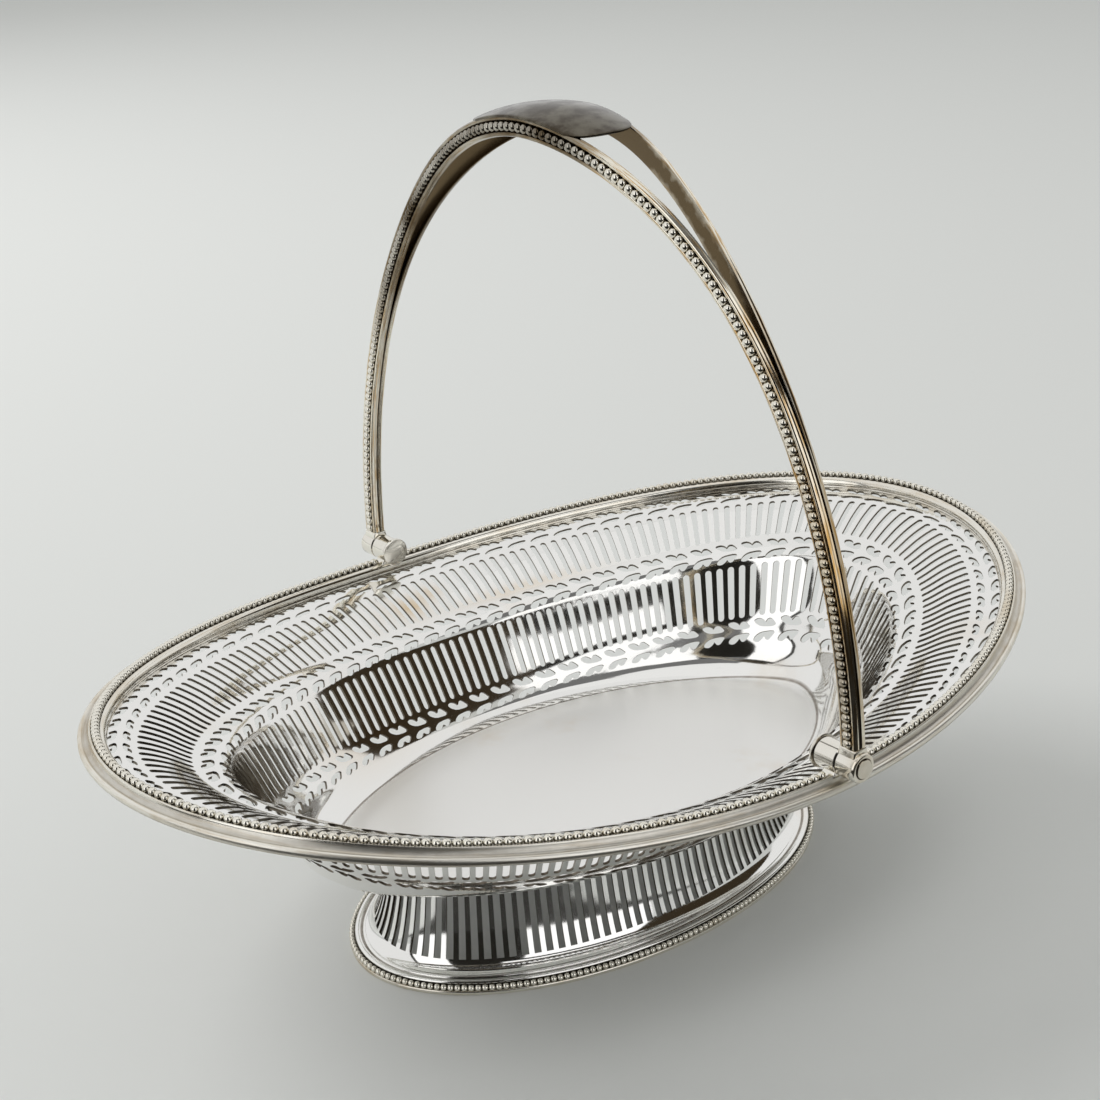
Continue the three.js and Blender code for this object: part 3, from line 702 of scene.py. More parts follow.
def aged_silver_group():
    """Colour, roughness and relief of old silver plate: warm clouds, hollows darkened by tarnish and painted
    shade, and fine scratches.
    """
    tree = bpy.data.node_groups.new("aged_silver", "ShaderNodeTree")
    for name, value in SILVER_INPUTS.items():
        kind = "NodeSocketColor" if isinstance(value, tuple) else "NodeSocketFloat"
        tree.interface.new_socket(name=name, in_out="INPUT", socket_type=kind).default_value = value
    for name, kind in SILVER_OUTPUTS.items():
        tree.interface.new_socket(name=name, in_out="OUTPUT", socket_type=kind)
    given = tree.nodes.new("NodeGroupInput").outputs
    place = tree.nodes.new("ShaderNodeTexCoord").outputs["Object"]
    cloud = noise(tree, place, scale=given["Cloud Scale"], detail=5, roughness=0.62)
    warm = warm_tarnish(tree, given, cloud)
    tinted = mixed(tree, stains_and_streaks(tree, given, warm), given["Clean"], given["Warm"])
    # Hollows darkened by tarnish and painted shade
    hollow = hollow_tarnish_and_shade(tree, given, place)
    patchy = remapped(tree, cloud, GLOOM_CLOUDS, GLOOM_GAIN)
    darkened = maths(tree, "MULTIPLY_ADD", marked(tree, "gloom"), patchy, hollow, clamp=True)
    dull = maths(tree, "MAXIMUM", warm, hollow)
    rough = remapped(tree, dull, (0.0, 1.0), (given["Smooth"], given["Rough"]))
    add_node(tree, "NodeGroupOutput", {
        "Color": mixed(tree, darkened, tinted, given["Dark"]),
        "Roughness": maths(tree, "MULTIPLY_ADD", marked(tree, "haze"), HAZE_ROUGHNESS, rough),
        "Normal": silver_relief(tree, given, place),
    })
    return tree


AGED_SILVER = aged_silver_group()


def silver(name, look):
    material = bpy.data.materials.new(name)
    material.use_nodes = True
    tree = material.node_tree
    shader = tree.nodes["Principled BSDF"]
    shader.inputs["Metallic"].default_value = 1.0
    aged = add_node(tree, "ShaderNodeGroup", look, node_tree=AGED_SILVER)
    for output, entry in (("Color", "Base Color"), ("Roughness", "Roughness"), ("Normal", "Normal")):
        tree.links.new(aged.outputs[output], shader.inputs[entry])
    return material


bright = silver("bright_silver", {
    "Clean": (0.93, 0.925, 0.90, 1), "Warm": (0.74, 0.60, 0.42, 1), "Dark": (0.16, 0.12, 0.08, 1),
    "Cloud Scale": 16.0, "Cloud Start": 0.56, "Warm Share": 0.35,
    "Smooth": 0.07, "Rough": 0.2, "Relief": 0.10,
})
# Cut edges of the sheet: their dark colour is painted shade on the walls of the slots, which are silver
cut_edge_painted_shade = silver("cut_edge_painted_shade", {
    "Clean": (0.20, 0.175, 0.14, 1), "Warm": (0.09, 0.07, 0.05, 1), "Dark": (0.03, 0.025, 0.02, 1),
    "Cloud Scale": 60.0, "Cloud Start": 0.45, "Warm Share": 0.8,
    "Smooth": 0.28, "Rough": 0.4, "Relief": 0.1,
})
worn = silver("worn_silver", {
    "Clean": (0.90, 0.875, 0.80, 1), "Warm": (0.60, 0.47, 0.29, 1), "Dark": (0.12, 0.085, 0.05, 1),
    "Cloud Scale": 24.0, "Cloud Start": 0.5, "Warm Share": 0.5, "Streak Share": 0.28,
    "Smooth": 0.13, "Rough": 0.24, "Relief": 0.1,
})
beaded = silver("bead_silver", {
    "Clean": (0.90, 0.87, 0.78, 1), "Warm": (0.64, 0.52, 0.34, 1), "Dark": (0.10, 0.075, 0.045, 1),
    "Cloud Scale": 30.0, "Cloud Start": 0.5, "Warm Share": 0.5, "Hollow Gain": 1.2,
    "Smooth": 0.12, "Rough": 0.36, "Relief": 0.1,
})
handled = silver("handle_silver", {
    "Clean": (0.91, 0.87, 0.75, 1), "Warm": (0.56, 0.35, 0.13, 1), "Dark": (0.12, 0.085, 0.045, 1),
    "Cloud Scale": 20.0, "Cloud Start": 0.5, "Warm Share": 0.5, "Streak Share": 0.8,
    "Smooth": 0.09, "Rough": 0.22, "Relief": 0.15,
})
dulled = silver("dark_silver", {
    "Clean": (0.155, 0.14, 0.11, 1), "Warm": (0.055, 0.042, 0.028, 1), "Dark": (0.07, 0.055, 0.045, 1),
    "Cloud Scale": 95.0, "Cloud Start": 0.38, "Warm Share": 0.95,
    "Smooth": 0.1, "Rough": 0.22, "Relief": 0.5,
})


# Dish

# Runs where each band of the dish starts and ends, from under the border to the cove
UNDER_BORDER_RUNS = (-7.0, -4.5, -2.2)
OUTER_LEAF_RUNS = (-1.9, 5.9)
FLANGE_SLOT_RUNS = (6.5, 28.6)
MIDDLE_LEAF_RUNS = (29.5, 39.9)
WALL_SLOT_RUNS = (40.2, 63.2)
INNER_LEAF_RUNS = (63.5, 72.5)
COVE_RUNS = (72.8, 73.6, 74.5)
DISH_BANDS = [
    UNDER_BORDER_RUNS, OUTER_LEAF_RUNS, FLANGE_SLOT_RUNS, MIDDLE_LEAF_RUNS, WALL_SLOT_RUNS, INNER_LEAF_RUNS,
    COVE_RUNS,
]
# Rows lie close together round the floor's chased line, and the floor's rows close in to its middle
CHASED_ROWS = (-0.9, -0.5, -0.2, 0.1, 0.45, 1.2, 2.6, 4.5)
FLOOR_SHARES = (0.15, 0.35, 0.6, 0.85, 1.0)
# Towards the ends the chased line moves up the cove by this much, in full between the first two of these
# distances down from the line, and not at all from the third
CHASED_SHIFT = 3.2
SHIFT_REACH = (-0.9, 1, 6)
# The floor's haze, the distances from the line over which it grows, and the line's darkening and half width
FLOOR_HAZE = 0.75
FLOOR_HAZE_REACH = (-0.3, 0.9)
CHASED_DARKENING = 0.9
CHASED_HALF = 0.5

# Warm stains: strength, degrees round and run of the middle, and the reach of each
DISH_STAINS = [(1.0, 92, 20, 2.4, 5), (0.7, 88, 16, 2, 4), (0.6, 112, 58, 12, 14), (0.5, 75, 27, 12, 3)]


def cove_and_floor():
    runs = [*COVE_RUNS] + [FLOOR_EDGE + step for step in CHASED_ROWS] + [FLOOR_START]
    runs += [FLOOR_START + FLOOR_SPAN * share for share in FLOOR_SHARES]
    piece = plain_band("cove_and_floor", runs)
    turn, row = marks(piece, "turn"), marks(piece, "run")
    full, fading, end = (FLOOR_EDGE + distance for distance in SHIFT_REACH)
    near_line = ramp(row, COVE_RUNS[0], full) * (1 - ramp(row, fading, end))
    mark(piece, "row", row)
    mark(piece, "run", row - CHASED_SHIFT * np.cos(turn) ** 2 * near_line)
    return piece


def finish_dish(dish):
    """Hazes the worn floor, darkens its chased line and lays the warm stains."""
    turn, run, row = marks(dish, "turn") % TURN, marks(dish, "run"), marks(dish, "row")
    start, end = (FLOOR_EDGE + distance for distance in FLOOR_HAZE_REACH)
    mark(dish, "haze", FLOOR_HAZE * ramp(row, start, end))
    # Darker along the chased line
    mark(dish, "hollow", CHASED_DARKENING * ease(1 - np.abs(row - FLOOR_EDGE) / CHASED_HALF))
    stain = sum(
        strength * hump(turn, math.radians(middle), math.radians(wide)) * hump(run, run_middle, tall)
        for strength, middle, run_middle, wide, tall in DISH_STAINS)
    mark(dish, "stain", np.clip(stain, 0, 1))


def make_dish():
    under_border = plain_band("under_border", UNDER_BORDER_RUNS)
    leaves_outer = leaf_band(
        "leaves_outer", OUTER_LEAF_RUNS, inset=7, count=87, stem=2.2, gap=0.7, upper=2.9, lower=2.4)
    slots_flange = slot_band(
        "slots_flange", RIM, FLANGE_SLOT_RUNS, inset=20, count=185, slot=(7.1, 27.9), width=2.2,
        crowns=(1.1, 1.1), steps=8)
    leaves_middle = leaf_band(
        "leaves_middle", MIDDLE_LEAF_RUNS, inset=37, count=71, stem=34.9, gap=0.55, upper=4.2, lower=4.0)
    slots_wall = slot_band(
        "slots_wall", RIM, WALL_SLOT_RUNS, inset=47, count=150, slot=(40.75, 62.75), width=2.5,
        crowns=(1.25, 1.25), steps=10)
    leaves_inner = leaf_band(
        "leaves_inner", INNER_LEAF_RUNS, inset=56, count=59, stem=68.3, gap=0.6, upper=3.9, lower=3.1)
    bands = [under_border, leaves_outer, slots_flange, leaves_middle, slots_wall, leaves_inner]
    dish = pierced_sheet("pierced_dish", place_dish, bands + [cove_and_floor()], seams_between(DISH_BANDS))
    finish_dish(dish)
    finished(dish, "basket", "bright_silver", ["dish"])


make_dish()


# Foot

SKIRT_STEPS = 208
SKIRT_SLOTS = 104
# Heights of the rows below and above the slots, of the slotted band, and of its slots
SKIRT_LOW = (3.9, 4.1, 4.4, 4.8, 5.3, 6.0, 6.8, 7.3)
SKIRT_HIGH = (30.4, 32, 33.5, 35, 36.5, 38, 39.0)
SKIRT_BAND = (7.6, 30.2)
SKIRT_SLOT = (8.1, 29.8)

# Sections: inset, height and the darkening of hollows, tarnish and painted shade
FOOT_MOULDING = softened([
    (1.3, 0.0, 0.2), (1.35, 1.3, 0.5), (2.0, 1.7, 0.9), (2.0, 3.1, 0.9), (1.9, 3.5, 0.3), (2.2, 4.0, 0.0),
    (2.8, 4.35, 0.0), (3.5, 4.3, 0.0), (3.95, 3.9, 0.2), (4.15, 3.6, 0.7), (4.5, 3.55, 0.7),
    (4.75, 3.95, 0.1), (5.2, 4.35, 0.0), (5.8, 4.5, 0.0), (6.0, 3.8, 0.0), (5.6, 0.6, 0.0), (4.8, 0.0, 0.0),
])
FOOT_WIRE = softened([
    (0.25, 0.0, 0.2), (0.0, 0.45, 0.0), (0.0, 1.0, 0.0), (0.2, 1.45, 0.3), (0.7, 1.6, 0.8), (1.2, 1.5, 0.9),
    (1.2, 0.0, 0.2),
])
FOOT_STEPS = 240
FOOT_BEADS = 216
FOOT_BEAD_RADIUS = 1.1
# The foot's beads are spaced on a line at the first inset and sit at the second
FOOT_BEAD_SPACING_INSET = 0.9
FOOT_BEAD_INSET = 0.95
FOOT_BEAD_HEIGHT = 2.45
# How much the beads of the foot look outwards, and how much upwards
FOOT_BEAD_LEAN = (0.8, 0.6)


def make_foot():
    low_runs, band_runs, high_runs = foot_runs(SKIRT_LOW), foot_runs(SKIRT_BAND), foot_runs(SKIRT_HIGH)
    low = plain_band("skirt_low", low_runs, SKIRT_STEPS)
    high = plain_band("skirt_high", high_runs, SKIRT_STEPS)
    slots = slot_band(
        "skirt_slots", FOOT, band_runs, inset=SKIRT_INSET, count=SKIRT_SLOTS, slot=foot_runs(SKIRT_SLOT),
        width=2.45, crowns=(0.01, 0.6), steps=8)
    seams = seams_between([low_runs, band_runs, high_runs])
    foot = pierced_sheet("pierced_foot", place_foot, [low, slots, high], seams)
    finished(foot, "basket", "bright_silver", ["foot_wall"])


def foot_bead_spots(index):
    turn = even_turns(FOOT, FOOT_BEAD_SPACING_INSET, index / FOOT_BEADS)
    _, way_out = on_oval(FOOT, turn, FOOT_BEAD_INSET)
    outward = np.stack([way_out[:, 0], way_out[:, 1], 0 * turn], -1)
    along = np.stack([-way_out[:, 1], way_out[:, 0], 0 * turn], -1)
    up = unit(outward * FOOT_BEAD_LEAN[0] + np.array([0, 0, FOOT_BEAD_LEAN[1]]))
    return on_foot(turn, FOOT_BEAD_INSET, FOOT_BEAD_HEIGHT), along, up


def make_foot_trim():
    moulding = swept("foot_reeding", FOOT_STEPS, FOOT_MOULDING, round_foot)
    finished(moulding, "basket", "bright_silver", ["foot_moulding"], bright)
    wire = swept("foot_edge_wire", FOOT_STEPS, FOOT_WIRE, round_foot)
    finished(wire, "basket", "worn_silver", ["foot_base_wire"], worn)
    beads = bead_row("foot_beads", FOOT_BEADS, FOOT_BEAD_RADIUS, foot_bead_spots)
    finished(beads, "basket", "bead_silver", ["foot_beading"], beaded)


make_foot()
make_foot_trim()


# Rim

# Section of the border: out from the bead row, up from it, and the darkening of hollows, tarnish and painted
# shade
RIM_SECTION = softened([
    (-3.1, -5.2, 0.5), (-3.25, -4.7, 0.1), (-3.2, -4.2, 0.0), (-2.95, -3.9, 0.7), (-3.15, -3.4, 0.1),
    (-3.1, -2.6, 0.0), (-2.8, -1.8, 0.0), (-2.35, -1.25, 0.0), (-1.85, -0.95, 0.0), (-1.45, -0.75, 0.0),
    (-1.15, -1.1, 0.55), (0.0, -1.35, 0.75), (1.15, -1.1, 0.6), (1.45, -0.5, 0.1), (1.6, -0.05, 0.0),
    (2.0, 0.05, 0.0), (2.25, -0.25, 0.0), (2.4, -0.9, 0.25), (2.8, -1.7, 0.3), (3.4, -2.25, 0.3),
    (4.1, -2.4, 0.35), (4.5, -2.2, 0.1), (4.9, -1.95, 0.0), (5.5, -2.1, 0.0), (5.95, -2.7, 0.0),
    (6.0, -3.5, 0.1), (5.8, -4.2, 0.45), (5.3, -4.7, 0.6), (4.6, -4.6, 0.6), (3.8, -3.9, 0.6),
    (2.6, -3.5, 0.6), (1.0, -3.9, 0.6), (-1.0, -5.0, 0.5), (-2.4, -5.4, 0.5),
], 2)
RIM_STEPS = 320
# The border is hazed from its fillet outwards: how much, a mean radius, and between which distances it grows
RIM_HAZE = 0.55
RIM_MEAN = 145
RIM_HAZE_OUT = (1.9, 2.4)
HALF_RIM_BEADS = 159
RIM_BEAD_RADIUS = 1.47
# The bead row stops this far from the hinge line, at the saddles, and its way is measured in fine steps
SADDLE_REACH = 5.2
RIM_WAY_STEPS = 1441


def make_border():
    border = swept("rim_moulding", RIM_STEPS, RIM_SECTION, round_rim)
    co = points_of(border) / MM
    outward = RIM_MEAN * (np.hypot(co[:, 0] / RIM[0], co[:, 1] / RIM[1]) - 1)
    mark(border, "haze", RIM_HAZE * ramp(outward, *RIM_HAZE_OUT))
    finished(border, "basket", "worn_silver", ["rim_border", "rim_inner_reed"], worn)


def rim_bead_spots_on(side):
    """Spots of one half of the bead row, which stops at the hinge saddles."""
    middle = 0 if side > 0 else math.pi
    reach = math.pi / 2 - math.asin(SADDLE_REACH / RIM[0])
    fine = np.linspace(middle - reach, middle + reach, RIM_WAY_STEPS)
    way = distance_along(on_rim(fine))

    def spots(index):
        turn = np.interp((index + 0.5) / HALF_RIM_BEADS * way[-1], way, fine)
        step = 0.003
        along = unit(on_rim(turn + step) - on_rim(turn - step))
        _, way_out = on_oval(RIM, turn, 0.0)
        outward = np.stack([way_out[:, 0], way_out[:, 1], 0 * turn], -1)
        return on_rim(turn), along, unit(np.cross(outward, along))
    return spots


def make_rim_beads(side, name):
    beads = bead_row("rim_beads_" + name, HALF_RIM_BEADS, RIM_BEAD_RADIUS, rim_bead_spots_on(side))
    finished(beads, "basket", "bead_silver", ["rim_beading_" + name], beaded)


make_border()
make_rim_beads(1, "right")
make_rim_beads(-1, "left")


# Handle

# Half span and rise of the arch's middle line, and how full its legs are
HALF_SPAN = 130.2
RISE = 183.0
LEG_FULLNESS = 1.07
# How far each rib stands from the middle at the crown, and how late the ribs part
SPREAD = 11.9
SPREAD_POWER = 6.7
LEAN = math.radians(-1.3)
BARREL_RADIUS = 4.9
SOCKET_RISE = 1.3
RIB_START = math.asin((BARREL_RADIUS + SOCKET_RISE + SOLDER_GAP) / RISE)

# Section of a rib: sideways from its spread, outwards from the arch's middle line, and the darkening of
# hollows, tarnish and painted shade
RIB_SECTION = softened([
    (0.15, -3.3, 0.7), (0.15, 0.0, 1.25), (0.15, 3.3, 0.7), (0.7, 3.42, 0.0), (1.5, 3.4, 0.0),
    (2.2, 3.1, 0.0), (2.55, 2.6, 0.0), (2.4, 1.95, 0.0), (1.9, 1.65, 0.35), (1.0, 1.5, 0.85),
    (0.85, 0.0, 0.85), (1.0, -1.5, 0.85), (1.9, -1.65, 0.35), (2.4, -1.95, 0.1), (2.55, -2.6, 0.0),
    (2.2, -3.1, 0.0), (1.5, -3.4, 0.0), (0.7, -3.42, 0.1),
], 2)
RIB_STEPS = 260
RIB_WAY_STEPS = 1201
RIB_BEADS = 166
RIB_BEAD_RADIUS = 1.5
RIB_BEAD_WIDE = 1.12
RIB_BEAD_SIDEWAYS = 2.1


def arch(turn, outwards):
    """The arch from the near hinge to the far one: Y and height over the hinge line."""
    def middle(a):
        c = np.cos(a)
        return np.stack([-HALF_SPAN * np.sign(c) * np.abs(c) ** LEG_FULLNESS, RISE * np.sin(a)], -1)
    way = unit(middle(turn + 1e-3) - middle(turn - 1e-3))
    return middle(turn) + np.stack([-way[:, 1], way[:, 0]], -1) * np.asarray(outwards)[..., None]


def leaned(x, y, z):
    """The handle leans a little off upright, about the hinge line."""
    return np.stack([
        x * math.cos(LEAN) + z * math.sin(LEAN), y,
        HINGE_HEIGHT - x * math.sin(LEAN) + z * math.cos(LEAN)], -1)


def rib_spread(turn):
    return SPREAD * np.sin(turn) ** SPREAD_POWER


def on_rib(side):
    def place(share, sideways, outwards):
        turn = RIB_START + (math.pi - 2 * RIB_START) * share
        spot = arch(turn, outwards)
        return leaned(side * (rib_spread(turn) + sideways), spot[:, 0], spot[:, 1])
    return place


def rib_bead_spots_on(side):
    place = on_rib(side)
    fine = np.linspace(0, 1, RIB_WAY_STEPS)
    way = distance_along(place(fine, RIB_BEAD_SIDEWAYS, 0.0))

    def spots(index):
        share = np.interp((index + 0.5) / RIB_BEADS * way[-1], way, fine)
        at = place(share, RIB_BEAD_SIDEWAYS, 0.0)
        along = unit(place(share + 0.001, RIB_BEAD_SIDEWAYS, 0.0) - at)
        out = place(share, RIB_BEAD_SIDEWAYS + 1, 0.0) - at
        return at, along, unit(out - along * (out * along).sum(1, keepdims=True))
    return spots


# Old tarnish over the crown and down the far leg: strength, and the heights and places along Y it grows over
CROWN_TARNISH = (0.9, (225, 270), (-42, -24))
FAR_LEG_TARNISH = (0.8, (165, 225), (30, 80))
# Dark and amber patches on the near leg: strength, middle height and reach, and distances they grow over
NEAR_LEG_TARNISH = (0.5, (128, 20), (90, 110))
NEAR_LEG_AMBER = (0.6, (155, 34), (70, 100))
DEEPEST_GLOOM = 0.95


def grown_over(y, z, tarnish):
    strength, heights, places = tarnish
    return strength * ramp(z, *heights) * ramp(y, *places)


def patch_on_near_leg(y, z, tarnish):
    strength, (middle, reach), distances = tarnish
    return strength * ramp(-y, *distances) * hump(z, middle, reach)


def tarnish_handle(piece):
    """Darkens the crown and the far leg, and lays the patches on the near leg."""
    co = points_of(piece) / MM
    y, z = co[:, 1], co[:, 2]
    gloom = grown_over(y, z, CROWN_TARNISH) + grown_over(y, z, FAR_LEG_TARNISH)
    gloom += patch_on_near_leg(y, z, NEAR_LEG_TARNISH)
    mark(piece, "gloom", np.clip(gloom, 0, DEEPEST_GLOOM))
    mark(piece, "stain", patch_on_near_leg(y, z, NEAR_LEG_AMBER))


def make_rib(side, name):
    rib = swept("rib_" + name, RIB_STEPS, RIB_SECTION, on_rib(side), caps=True)
    tarnish_handle(rib)
    finished(rib, "handle", "handle_silver", ["handle_rib_" + name], handled)
    beads = bead_row("rib_beads_" + name, RIB_BEADS, RIB_BEAD_RADIUS, rib_bead_spots_on(side), RIB_BEAD_WIDE)
    tarnish_handle(beads)
    finished(beads, "handle", "bead_silver", ["rib_beading_" + name], beaded)


make_rib(1, "right")
make_rib(-1, "left")

# Grip plate over the crown: half its length at its edges, what its rounded ends add, how far its edges lie
# off the arch's middle line, how much it domes, and how much wider than the ribs' spread it is on each side
GRIP_HALF = 21.8
GRIP_LOBE = 7.4
GRIP_LIFT = 3.5
GRIP_DOME = 2.1
GRIP_PAST_RIB = 2.75
GRIP_SHEET = 0.9
GRIP_EDGE = 0.25
# Its warm stain: strength, then middle and reach along it and across it
GRIP_STAIN = (0.7, (0.62, 0.1), (-0.2, 0.5))


def turn_at(y):
    """The turn of the arch over a place along Y."""
    return np.arccos(np.sign(-y) * np.abs(y / HALF_SPAN) ** (1 / LEG_FULLNESS))


def make_grip_plate():
    plate, along, up = flat_grid("grip_plate", 64, 24)
    across = 2 * up - 1
    bow = np.clip(1 - across ** 2, 0, 1)
    reach = GRIP_HALF + GRIP_LOBE * np.sqrt(bow)
    turn = turn_at(-reach) + (turn_at(reach) - turn_at(-reach)) * along
    spot = arch(turn, GRIP_LIFT + GRIP_DOME * bow)
    half = rib_spread(turn) + GRIP_PAST_RIB
    put_points(plate, leaned(across * half, spot[:, 0], spot[:, 1]) * MM)
    strength, lengthwise, crosswise = GRIP_STAIN
    mark(plate, "stain", strength * hump(along, *lengthwise) * hump(across, *crosswise))
    thick = plate.modifiers.new("sheet", "SOLIDIFY")
    thick.thickness = GRIP_SHEET * MM
    thick.offset = 1
    soft = plate.modifiers.new("edge", "BEVEL")
    soft.width = GRIP_EDGE * MM
    soft.segments = 2
    soft.limit_method = "ANGLE"
    apply_all(plate)
    close_up(plate, angle=40)
    finished(plate, "handle", "dark_silver", ["handle_grip_plate"], dulled)


make_grip_plate()


# Hinges

# Round outlines: radius, distance out from the middle along Y, and the darkening of hollows, tarnish and
# painted shade
KNUCKLE = [
    (2.35, 126.8, 0.8), (4.5, 126.8, 0.4), (4.9, 127.2, 0.0), (4.9, 130.5, 0.0), (4.9, 133.9, 0.0),
    (4.65, 134.4, 0.0), (4.2, 134.6, 0.0), (3.5, 134.6, 0.2), (3.3, 134.3, 1.0), (2.35, 134.3, 1.0),
    (2.35, 126.8, 0.8),
]
BARREL = [
    (2.3, 118.0, 0.8), (4.6, 118.0, 0.4), (4.9, 118.3, 0.0), (4.9, 122.0, 0.0), (4.9, 126.2, 0.0),
    (4.6, 126.6, 0.4), (2.3, 126.6, 0.8), (2.3, 118.0, 0.8),
]
PIN = [
    (0.0, 116.7, 0.0), (5.0, 116.7, 0.0), (5.45, 116.85, 0.0), (5.6, 117.2, 0.0), (5.6, 117.7, 0.3),
    (5.4, 117.85, 0.6), (2.0, 117.9, 0.8), (2.0, 134.4, 0.8), (3.0, 134.4, 0.9), (3.15, 134.5, 0.8),
    (3.15, 134.95, 0.5), (3.0, 135.1, 0.2), (2.0, 135.15, 0.2), (0.0, 135.15, 0.15),
]
# Blocks: how far out and how high they start and end, and half the width of their tops. The socket's heights
# are over the hinge line
SOCKET_OUT = (126.85, 133.55)
SOCKET_UP = (3.2, 6.3)
SOCKET_HALF = 2.62
SADDLE_OUT = (120.6, 126.0)
SADDLE_UP = (RIM_HEIGHT - 1.3, HINGE_HEIGHT - 3.0)
SADDLE_HALF = 3.0


def lean_piece(piece):
    co = points_of(piece) / MM
    put_points(piece, leaned(co[:, 0], co[:, 1], co[:, 2]) * MM)


def make_knuckle(side, name):
    """The handle's barrel with the socket that holds the ribs."""
    knuckle = turned("knuckle_" + name, KNUCKLE, side, 0.0)
    ends = [side * y for y in SOCKET_OUT]
    socket = rounded_block("socket", SOCKET_HALF, ends, SOCKET_UP, pinch=0.6, round_off=0.5)
    knuckle = joined([knuckle, socket], "knuckle_" + name)
    lean_piece(knuckle)
    finished(knuckle, "handle", "worn_silver", ["handle_knuckle_" + name], worn)


def make_bracket(side, name):
    """The fixed barrel with its saddle over the rim."""
    barrel = turned("bracket_" + name, BARREL, side, HINGE_HEIGHT)
    ends = [side * y for y in SADDLE_OUT]
    saddle = rounded_block("saddle", SADDLE_HALF, ends, SADDLE_UP, pinch=1.6, round_off=0.6)
    bracket = joined([barrel, saddle], "bracket_" + name)
    finished(bracket, "basket", "worn_silver", ["hinge_bracket_" + name], worn)


def make_pin(side, name):
    pin = turned("pin_" + name, PIN, side, HINGE_HEIGHT)
    finished(pin, "basket", "bright_silver", ["hinge_pin_" + name], worn)


for side, name in ((1, "far"), (-1, "near")):
    make_knuckle(side, name)
    make_bracket(side, name)
    make_pin(side, name)


# Camera

CAMERA_PLACE = (-0.3961, -0.4961, 0.3794)
CAMERA_TURN = (68.4436, 2.5069, -38.6988)
CAMERA_LENS = 64.08


def make_camera():
    lens = bpy.data.cameras.new("camera")
    lens.lens = CAMERA_LENS
    lens.sensor_width = 36
    lens.clip_start = 0.01
    lens.clip_end = 100
    camera = bpy.data.objects.new("camera", lens)
    bpy.context.scene.collection.objects.link(camera)
    turn = Euler([math.radians(angle) for angle in CAMERA_TURN])
    camera.matrix_world = Matrix.LocRotScale(Vector(CAMERA_PLACE), turn, None)
    bpy.context.scene.camera = camera


make_camera()


# Floor and light, in metres

def plain_material(name, colour, glow=0.0):
    material = bpy.data.materials.new(name)
    material.use_nodes = True
    shader = material.node_tree.nodes["Principled BSDF"]
    shader.inputs["Base Color"].default_value = colour
    shader.inputs["Roughness"].default_value = 0.9
    shader.inputs["Specular IOR Level"].default_value = 0.1
    if glow:
        shader.inputs["Emission Color"].default_value = (1, 1, 1, 1)
        shader.inputs["Emission Strength"].default_value = glow
    return material


BLACK = (0.02, 0.018, 0.015, 1)
BROWN = (0.05, 0.035, 0.02, 1)
UNLIT = (0, 0, 0, 1)
PALE = (0.74, 0.745, 0.73, 1)
WORLD_COLOUR = (0.55, 0.56, 0.55, 1)

FLOOR_RADIUS = 9
PANEL_CENTRE = (0, 0, 0.06)
# Panels: azimuths and elevations in degrees, distance, colour and glow
PANELS = {
    "dark_front": ((168, 290), (-3, 64), 3.0, BLACK, 0.0),
    "dark_right": ((290, 345), (14, 44), 3.0, BROWN, 0.0),
    "white_front_right": ((250, 294), (-3, 34.4), 2.4, UNLIT, 1.15),
    "white_over_front": ((240, 300), (39.5, 55), 2.4, UNLIT, 1.1),
    "grey_over_front": ((205, 345), (55, 74), 2.6, UNLIT, 0.16),
    "white_left": ((172, 206), (-3, 60), 2.4, UNLIT, 1.15),
    "pale_back": ((-15, 168), (3, 62), 3.4, UNLIT, 0.80),
    "pale_over": ((0, 360), (62, 89.5), 3.2, UNLIT, 0.84),
}
# The dark table end in front: the azimuth that it looks to, where its middle is, its size, and its height
TABLE_END_AZIMUTH = 236
TABLE_END_MIDDLE = 1.595
TABLE_END_SIZE = (2.8, 3.4)
TABLE_END_HEIGHT = 0.002

KEY_PLACE = (-0.9, 1.9, 2.05)
KEY_SIZE = 2.0
KEY_POWER = 45
KEY_AIM = (0, 0, 0.08)


def make_floor():
    clear_selection()
    bpy.ops.mesh.primitive_circle_add(vertices=96, radius=FLOOR_RADIUS, fill_type="NGON", location=(0, 0, 0))
    floor = named(bpy.context.object, "floor")
    floor.data.materials.append(plain_material("pale_floor", PALE))


def only_in_silver(piece):
    piece.visible_camera = False
    piece.visible_diffuse = False
    piece.visible_shadow = False


def between(ends, share):
    return np.radians(ends[0] + (ends[1] - ends[0]) * share)


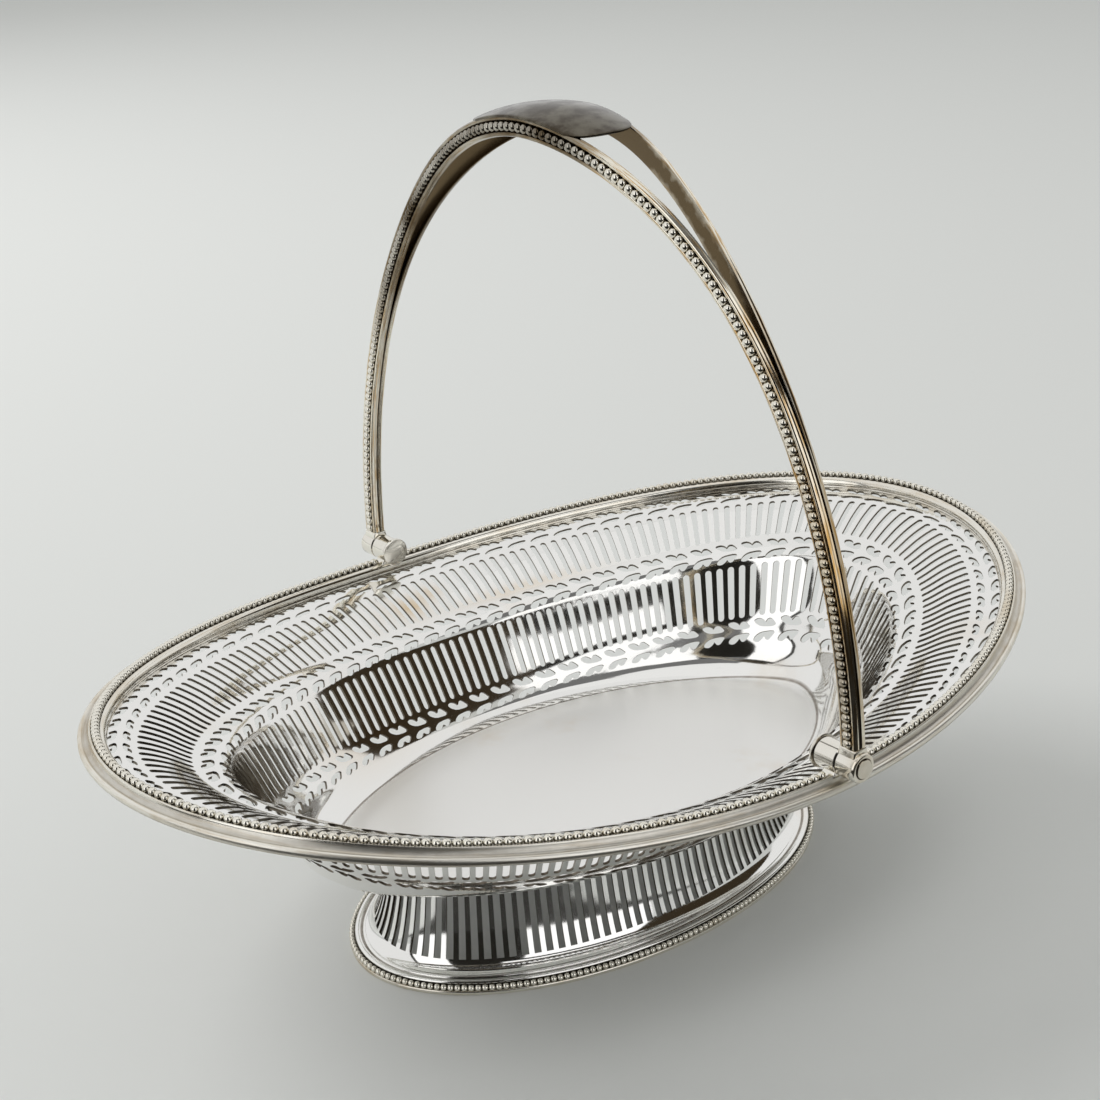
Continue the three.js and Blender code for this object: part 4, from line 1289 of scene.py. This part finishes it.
def make_panel(name, azimuths, elevations, distance, colour, glow):
    """Part of a dome seen only in the silver: white gives highlights, dark gives depth."""
    piece, along, up = flat_grid(name, 24, 8)
    azimuth, elevation = between(azimuths, along), between(elevations, up)
    level = np.cos(elevation)
    way = np.stack([np.cos(azimuth) * level, np.sin(azimuth) * level, np.sin(elevation)], -1)
    put_points(piece, way * distance + np.array(PANEL_CENTRE))
    piece.data.materials.append(plain_material(name, colour, glow))
    only_in_silver(piece)


def make_table_end():
    clear_selection()
    bpy.ops.mesh.primitive_plane_add(size=1)
    table_end = named(bpy.context.object, "table_end")
    co = points_of(table_end)
    azimuth = math.radians(TABLE_END_AZIMUTH)
    front = np.array([math.cos(azimuth), math.sin(azimuth), 0])
    sideways = np.array([-front[1], front[0], 0])
    depth, width = TABLE_END_SIZE
    laid = front * (TABLE_END_MIDDLE + depth * co[:, :1]) + sideways * width * co[:, 1:2]
    put_points(table_end, laid + np.array([0, 0, TABLE_END_HEIGHT]))
    table_end.data.materials.append(plain_material("table_end", BLACK))
    only_in_silver(table_end)


def make_key_lamp():
    data = bpy.data.lights.new("key", "AREA")
    data.shape = "RECTANGLE"
    data.size = data.size_y = KEY_SIZE
    data.energy = KEY_POWER
    lamp = bpy.data.objects.new("key", data)
    bpy.context.scene.collection.objects.link(lamp)
    lamp.visible_glossy = False
    back = unit(np.array(KEY_PLACE) - np.array(KEY_AIM))
    right = unit(np.cross([0, 0, 1], back))
    up = np.cross(back, right)
    turn = Matrix([right, up, back]).transposed().to_4x4()
    lamp.matrix_world = Matrix.Translation(KEY_PLACE) @ turn


def make_world():
    world = bpy.data.worlds.new("studio")
    bpy.context.scene.world = world
    world.use_nodes = True
    sky = world.node_tree.nodes["Background"]
    sky.inputs["Color"].default_value = WORLD_COLOUR
    sky.inputs["Strength"].default_value = 1.0


make_floor()
for name, settings in PANELS.items():
    make_panel(name, *settings)
make_table_end()
make_key_lamp()
make_world()

bpy.context.scene.view_settings.view_transform = "Standard"
